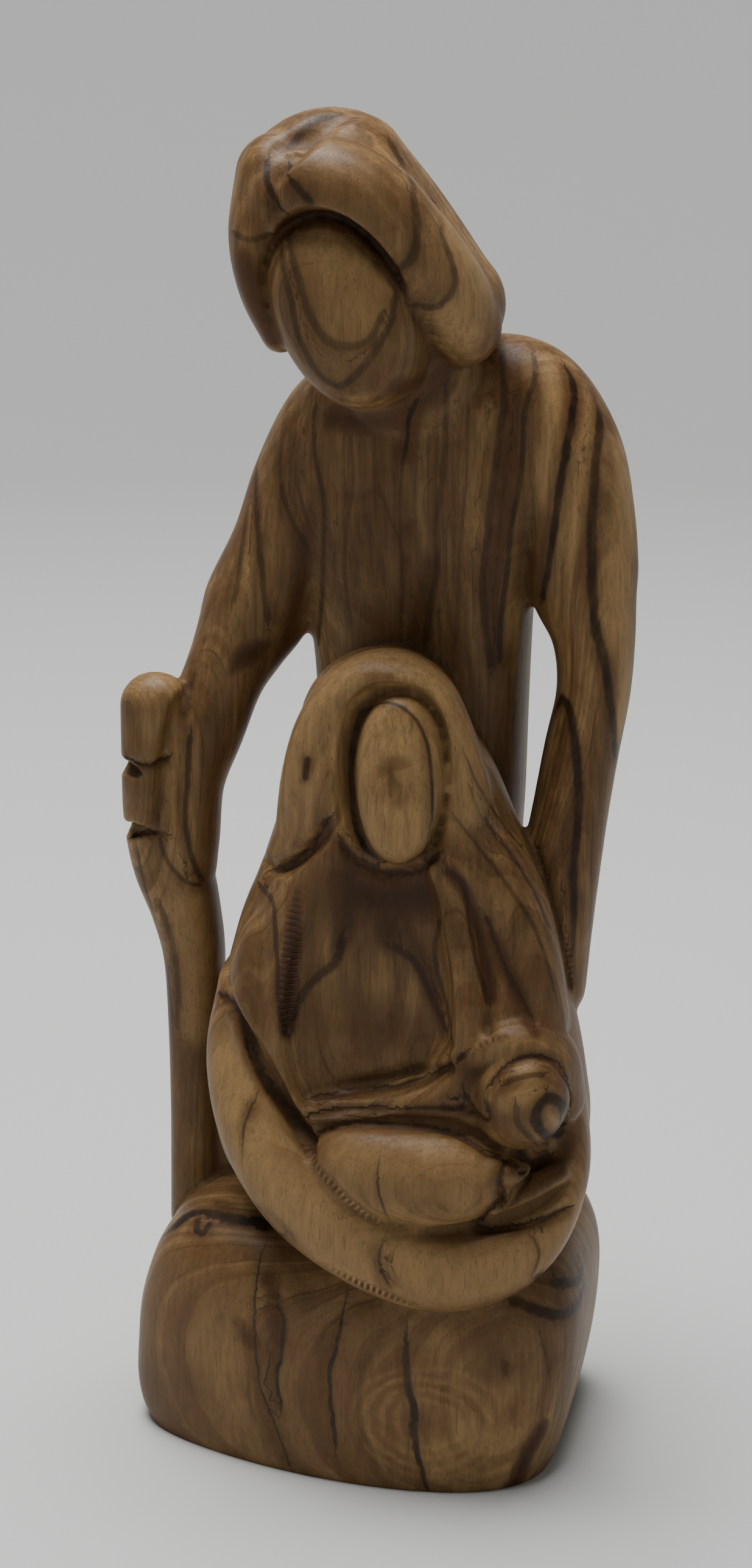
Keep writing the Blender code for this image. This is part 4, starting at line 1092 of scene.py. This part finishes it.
def drawnLine():
    # a line drawn on the mesh: a mask on the line itself, and a glow that lies mostly on its one side
    group, inn, out = nodeGroup(
        "drawnLine",
        [("Across", "NodeSocketFloat", 9.0), ("Strength", "NodeSocketFloat", 0.0),
         ("Place", "NodeSocketVector", None), ("Waver", "NodeSocketFloat", 0.5),
         ("Edge", "NodeSocketFloat", 1.6)],
        [("Mask", "NodeSocketFloat"), ("Glow", "NodeSocketFloat")],
    )
    w = Wires(group)
    place, strength = inn.outputs["Place"], inn.outputs["Strength"]
    sway = w.offCentre(w.noise(place, 0.55, 3.0))
    across = w.math("MULTIPLY_ADD", sway, inn.outputs["Waver"], inn.outputs["Across"])
    away = w.math("ABSOLUTE", across)
    worn = w.fade(w.noise(place, 0.21), 0.35, 0.6, 0.75, 1.0)
    mask = w.times(w.fade(away, 0.5, inn.outputs["Edge"], 1.0, 0.0), strength, worn)
    oneSide = w.times(w.fade(across, 0.4, 6.5, 1.0, 0.0), w.fade(across, -0.9, 0.0))
    glow = w.math("MAXIMUM", oneSide, w.fade(away, 0.4, 2.4, 0.7, 0.0))
    w.feed(out.inputs["Mask"], mask)
    w.feed(out.inputs["Glow"], w.times(glow, strength))
    return group


def stored(w, name):
    return w.node("ShaderNodeAttribute", attribute_name=name).outputs["Fac"]


def placeLine(w, group, name, place, waver, edge):
    values = {"Across": stored(w, name + "Across"), "Strength": stored(w, name + "Strength"), "Place": place}
    line = w.node("ShaderNodeGroup", node_tree=group)
    for label, value in dict(values, Waver=waver, Edge=edge).items():
        w.feed(line.inputs[label], value)
    return line.outputs["Mask"], line.outputs["Glow"]


def ovalFigure(w, look, colour, place, spot, mottle):
    # the small oval figure low on the front of the base, pale years round a brown heart
    x = w.math("DIVIDE", w.math("SUBTRACT", spot.outputs[0], look["ovalX"]), look["ovalWide"])
    z = w.math("DIVIDE", w.math("SUBTRACT", spot.outputs[2], look["ovalZ"]), look["ovalHigh"])
    oval = w.vector("LENGTH", w.node("ShaderNodeCombineXYZ", {0: x, 1: z}).outputs[0]).outputs["Value"]
    oval = w.math("MULTIPLY_ADD", w.offCentre(mottle), 0.24, oval)
    front = w.fade(spot.outputs[1], look["ovalFront"] + 3.0, look["ovalFront"])
    year = w.fade(w.math("SINE", w.times(oval, look["ovalYears"])), -0.9, 1.0)
    band = w.times(w.fade(oval, 0.25, 0.5), w.fade(oval, 0.85, 1.1, 1.0, 0.0), front)
    broken = w.fade(w.noise(place, 0.7, 3.0, 0.6), 0.35, 0.6, 0.35, 1.0)
    colour = w.mix(w.times(year, band, broken, 0.40), colour, look["pale"])
    return w.mix(w.times(w.fade(oval, 0.42, 0.05, 0.0, 0.45), front), colour, look["brown"])


def oliveMaterial(look):
    material = bpy.data.materials.new("olive_wood_oiled")
    material.use_nodes = True
    shader = material.node_tree.nodes["Principled BSDF"]
    w = Wires(material.node_tree)
    rings = w.node("ShaderNodeGroup", node_tree=ringFigure())
    for label, key in (("Pith X", "pithX"), ("Pith Y", "pithY"), ("Lean", "lean"), ("Warp", "warp")):
        rings.inputs[label].default_value = look[key]
    ring, place, fibre = (rings.outputs[name] for name in ("Ring", "Place", "Fibre"))
    spot = w.node("ShaderNodeSeparateXYZ", {0: place})

    def byHeight(low, high):
        return w.fade(spot.outputs[2], look["calmBelow"], look["livelyAbove"], low, high)

    # growth: broad warm and pale years, a few of them edged dark
    broad = w.noise(w.times(ring, look["broadYears"]), 1.0, 1.5, 0.5, "1D")
    years = w.noise(w.times(ring, look["narrowYears"]), 1.0, 2.0, 0.6, "1D")
    edged = w.fade(w.math("ABSOLUTE", w.math("SUBTRACT", broad, 0.53)), 0.0, 0.022, 1.0, 0.0)
    broken = w.fade(w.noise(place, 0.06), 0.42, 0.62)
    streak = w.noise(fibre, 1.3, 4.0, 0.62)
    cloud = w.noise(place, 0.045)
    mottle = w.noise(place, 0.16, 3.0, 0.55)
    bands = w.times(w.fade(w.noise(fibre, 0.34), 0.47, 0.62), byHeight(0.35, 1.0))
    colour = w.mix(w.fade(cloud, 0.33, 0.70, 0.12, 0.85), look["tan"], look["pale"])
    colour = w.mix(w.times(w.fade(broad, 0.44, 0.58), 0.46), colour, look["brown"])
    colour = w.mix(w.times(w.fade(years, 0.46, 0.60), 0.38), colour, look["brown"])
    colour = w.mix(w.fade(mottle, 0.45, 0.75, 0.0, 0.30), colour, look["red"])
    colour = w.mix(w.times(bands, 0.42), colour, look["brown"])
    colour = w.mix(w.times(edged, broken, 0.42), colour, look["deep"])

    # soft zones that follow the fibre, some of them painted shade or painted light, then the oval figure
    wander = w.math("MULTIPLY_ADD", w.offCentre(streak), 2.2, w.offCentre(mottle))
    zone = w.math("MULTIPLY_ADD", wander, 0.30, stored(w, "zone"))
    colour = w.mix(w.fade(zone, -0.08, -0.8, 0.0, 0.85), colour, look["pale"])
    colour = w.mix(w.fade(zone, 0.10, 0.65, 0.0, 0.9), colour, look["brown"])
    colour = w.mix(w.fade(zone, 0.55, 1.15, 0.0, 0.85), colour, look["deep"])
    colour = ovalFigure(w, look, colour, place, spot, mottle)

    # dark lines, mostly of the grain and two of them painted shadow, painted shade in the hollows, and
    # filled cracks
    lineGroup = drawnLine()
    grain, grainGlow = placeLine(w, lineGroup, "grain", place, look["grainWaver"], look["grainEdge"])
    crack, crackGlow = placeLine(w, lineGroup, "crack", place, look["crackWaver"], look["crackEdge"])
    hollow = stored(w, "hollow")
    colour = w.mix(w.times(grainGlow, 0.62), colour, look["brown"])
    colour = w.mix(w.times(grain, 0.95), colour, look["dark"])
    # painted shade: the deeper below the smoothed form, the darker
    colour = w.mix(w.fade(hollow, 0.5, 3.0, 0.0, 0.5), colour, look["groove"])
    colour = w.mix(w.times(crackGlow, 0.35), colour, look["brown"])
    colour = w.mix(crack, colour, look["filler"])

    # fine fibres lighten and darken it all
    pore = w.fade(w.noise(fibre, 4.2), 0.60, 0.70)
    ripple = w.noise(w.vector("MULTIPLY", place, (1, 1, 0.3)).outputs[0], 0.9, 3.0, 0.6)
    fibres = w.times(w.fade(streak, 0.30, 0.70, -0.21, 0.17), byHeight(0.5, 1.1))
    shade = w.math("ADD", w.fade(years, 0.3, 0.7, 0.95, 1.04), fibres)
    shade = w.math("ADD", shade, w.fade(w.noise(fibre, 9.0, 1.0), 0.3, 0.7, -0.07, 0.07))
    shade = w.math("ADD", shade, w.fade(ripple, 0.25, 0.75, -0.10, 0.09))
    grey = w.node("ShaderNodeCombineColor", {0: shade, 1: shade, 2: shade}).outputs[0]
    colour = w.mix(1.0, colour, grey, "MULTIPLY")
    colour = w.mix(w.times(pore, 0.38), colour, look["brown"])

    # gouge cuts, a wave along each row
    wave = w.math("SINE", w.times(stored(w, "gougeWay"), 2 * math.pi / look["gougePitch"]))
    gouge = w.times(w.fade(wave, -0.6, 0.8), stored(w, "gougeCover"))
    colour = w.mix(w.times(gouge, 0.8), colour, look["deep"])

    # duller in the hollows; pores, cuts and cracks are low in the bump
    dull = w.fade(hollow, 0.3, 3.0, 0.0, 0.22)
    worn = w.fade(streak, 0.2, 0.8, look["roughness"] - 0.05, look["roughness"] + 0.07)
    height = w.math("MULTIPLY_ADD", pore, -0.35, w.times(streak, 0.5))
    height = w.math("MULTIPLY_ADD", gouge, -5.0, height)
    height = w.math("MULTIPLY_ADD", mottle, 1.6, height)
    height = w.math("MULTIPLY_ADD", crack, -1.6, height)
    values = {"Strength": look["bumpStrength"], "Distance": look["bumpDistance"], "Height": height}
    bump = w.node("ShaderNodeBump", values)
    w.feed(shader.inputs["Base Color"], colour)
    w.feed(shader.inputs["Roughness"], w.math("ADD", worn, dull))
    w.feed(shader.inputs["Normal"], bump.outputs[0])
    shader.inputs["Specular IOR Level"].default_value = look["sheen"]
    return material


def thinOut(obj):
    faces = sum(len(face.vertices) - 2 for face in obj.data.polygons)
    thin = obj.modifiers.new("thin", "DECIMATE")
    thin.ratio = min(1.0, carving["triangles"] / faces)
    bakeModifiers(obj)
    for v in obj.data.vertices:
        if v.co.z < carving["footSnap"]:
            v.co.z = 0.0


def makeCarving():
    forms = [baseBlock(), manBody()] + staff() + manHead() + mother()
    obj = fuse("holy_family_carved", forms, softening=1)
    print("fused", len(obj.data.vertices), "points")
    carveCreases(obj)
    sliceFlat(obj)
    thinOut(obj)
    wood = BVHTree.FromObject(obj, bpy.context.evaluated_depsgraph_get())
    grain, cracks, zones, gouges = (
        layOnWood(wood, marks) for marks in (darkGrain, dryingCracks, softZones, gougeRows)
    )
    print("laid", len(grain), "grain lines,", len(cracks), "cracks and", len(zones), "zones on the wood")
    cutLines(obj, [grain[name] for name in knifeLines], marking["knifeDepth"], marking["knifeWider"])
    cutLines(obj, cracks.values(), marking["crackDepth"], marking["crackWider"])
    obj.data.shade_smooth()
    drawLines(obj, "grain", grain)
    drawLines(obj, "crack", cracks)
    drawZones(obj, zones)
    drawGouges(obj, gouges)
    drawHollows(obj)
    print("carved", sum(len(face.vertices) - 2 for face in obj.data.polygons), "triangles")
    obj.data.materials.clear()
    obj.data.materials.append(oliveMaterial(oliveWood))
    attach(obj, "root")
    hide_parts("holy_family")


makeCarving()

# The plain studio round it: a floor that sweeps up into a wall, one soft light and a dim sky.
studio = {
    "floor": (0.585, 0.59, 0.575, 1),
    "floorRoughness": 0.8,
    "flatOut": 0.80,
    "sweep": 0.40,
    "sweepSteps": 10,
    "turnSteps": 64,
    "wallTop": 0.45,
    "skyColour": (0.94, 0.97, 1.0, 1),
    "horizon": 0.355,
    "sky": 0.10,
    "lightPlace": (-0.12, 0.06, 1.05),
    "lightAim": (0, 0, 0.1),
    "lightSize": 0.60,
    "lightPower": 18.5,
}


def makeFloor(look):
    # flat in the middle, a quarter round, then straight up, all turned about the middle
    edge = look["flatOut"] + look["sweep"]
    outline = [Vector((0, 0, 0))]
    for i in range(look["sweepSteps"] + 1):
        turn = 0.5 * math.pi * i / look["sweepSteps"]
        out, rise = math.sin(turn), 1 - math.cos(turn)
        outline.append(Vector((look["flatOut"] + look["sweep"] * out, 0, look["sweep"] * rise)))
    outline.append(Vector((edge, 0, look["wallTop"])))
    bm = bmesh.new()
    points = [bm.verts.new(p) for p in outline]
    edges = [bm.edges.new(pair) for pair in zip(points, points[1:])]
    bmesh.ops.spin(bm, geom=points + edges, cent=(0, 0, 0), axis=(0, 0, 1), angle=2 * math.pi,
                   steps=look["turnSteps"], use_merge=True)
    bmesh.ops.remove_doubles(bm, verts=bm.verts, dist=0.0001)
    bmesh.ops.recalc_face_normals(bm, faces=bm.faces)
    floor = newObject("floor", bm)
    floor.data.shade_smooth()
    paper = bpy.data.materials.new("paper_floor")
    paper.use_nodes = True
    shader = paper.node_tree.nodes["Principled BSDF"]
    shader.inputs["Base Color"].default_value = look["floor"]
    shader.inputs["Roughness"].default_value = look["floorRoughness"]
    floor.data.materials.append(paper)


def makeSky(look):
    # brighter at the horizon than overhead
    world = bpy.data.worlds.new("studio")
    bpy.context.scene.world = world
    world.use_nodes = True
    background = world.node_tree.nodes["Background"]
    background.inputs[0].default_value = look["skyColour"]
    w = Wires(world.node_tree)
    direction = w.node("ShaderNodeTexCoord").outputs["Generated"]
    height = w.node("ShaderNodeSeparateXYZ", {0: direction}).outputs[2]
    w.feed(background.inputs[1], w.fade(height, 0.30, 0.60, look["horizon"], look["sky"]))


def makeLight(look):
    light = bpy.data.lights.new("overhead", "AREA")
    light.energy = look["lightPower"]
    light.size = look["lightSize"]
    lamp = bpy.data.objects.new("overhead", light)
    lamp.location = look["lightPlace"]
    aim = Vector(look["lightAim"]) - Vector(look["lightPlace"])
    lamp.rotation_euler = aim.to_track_quat("-Z", "Y").to_euler()
    bpy.context.scene.collection.objects.link(lamp)


def makeCamera(look):
    eye, right, up, forward = viewpoint(look)
    camera = bpy.data.cameras.new("camera")
    camera.sensor_width = 36
    camera.lens = 18 / math.tan(math.radians(look["angle"] / 2))
    camera.clip_start = 0.01
    obj = bpy.data.objects.new("camera", camera)
    obj.location = eye
    obj.rotation_euler = forward.to_track_quat("-Z", "Y").to_euler()
    bpy.context.scene.collection.objects.link(obj)
    bpy.context.scene.camera = obj


makeFloor(studio)
makeSky(studio)
makeLight(studio)
print("studio set")
makeCamera(view)
print("camera set")
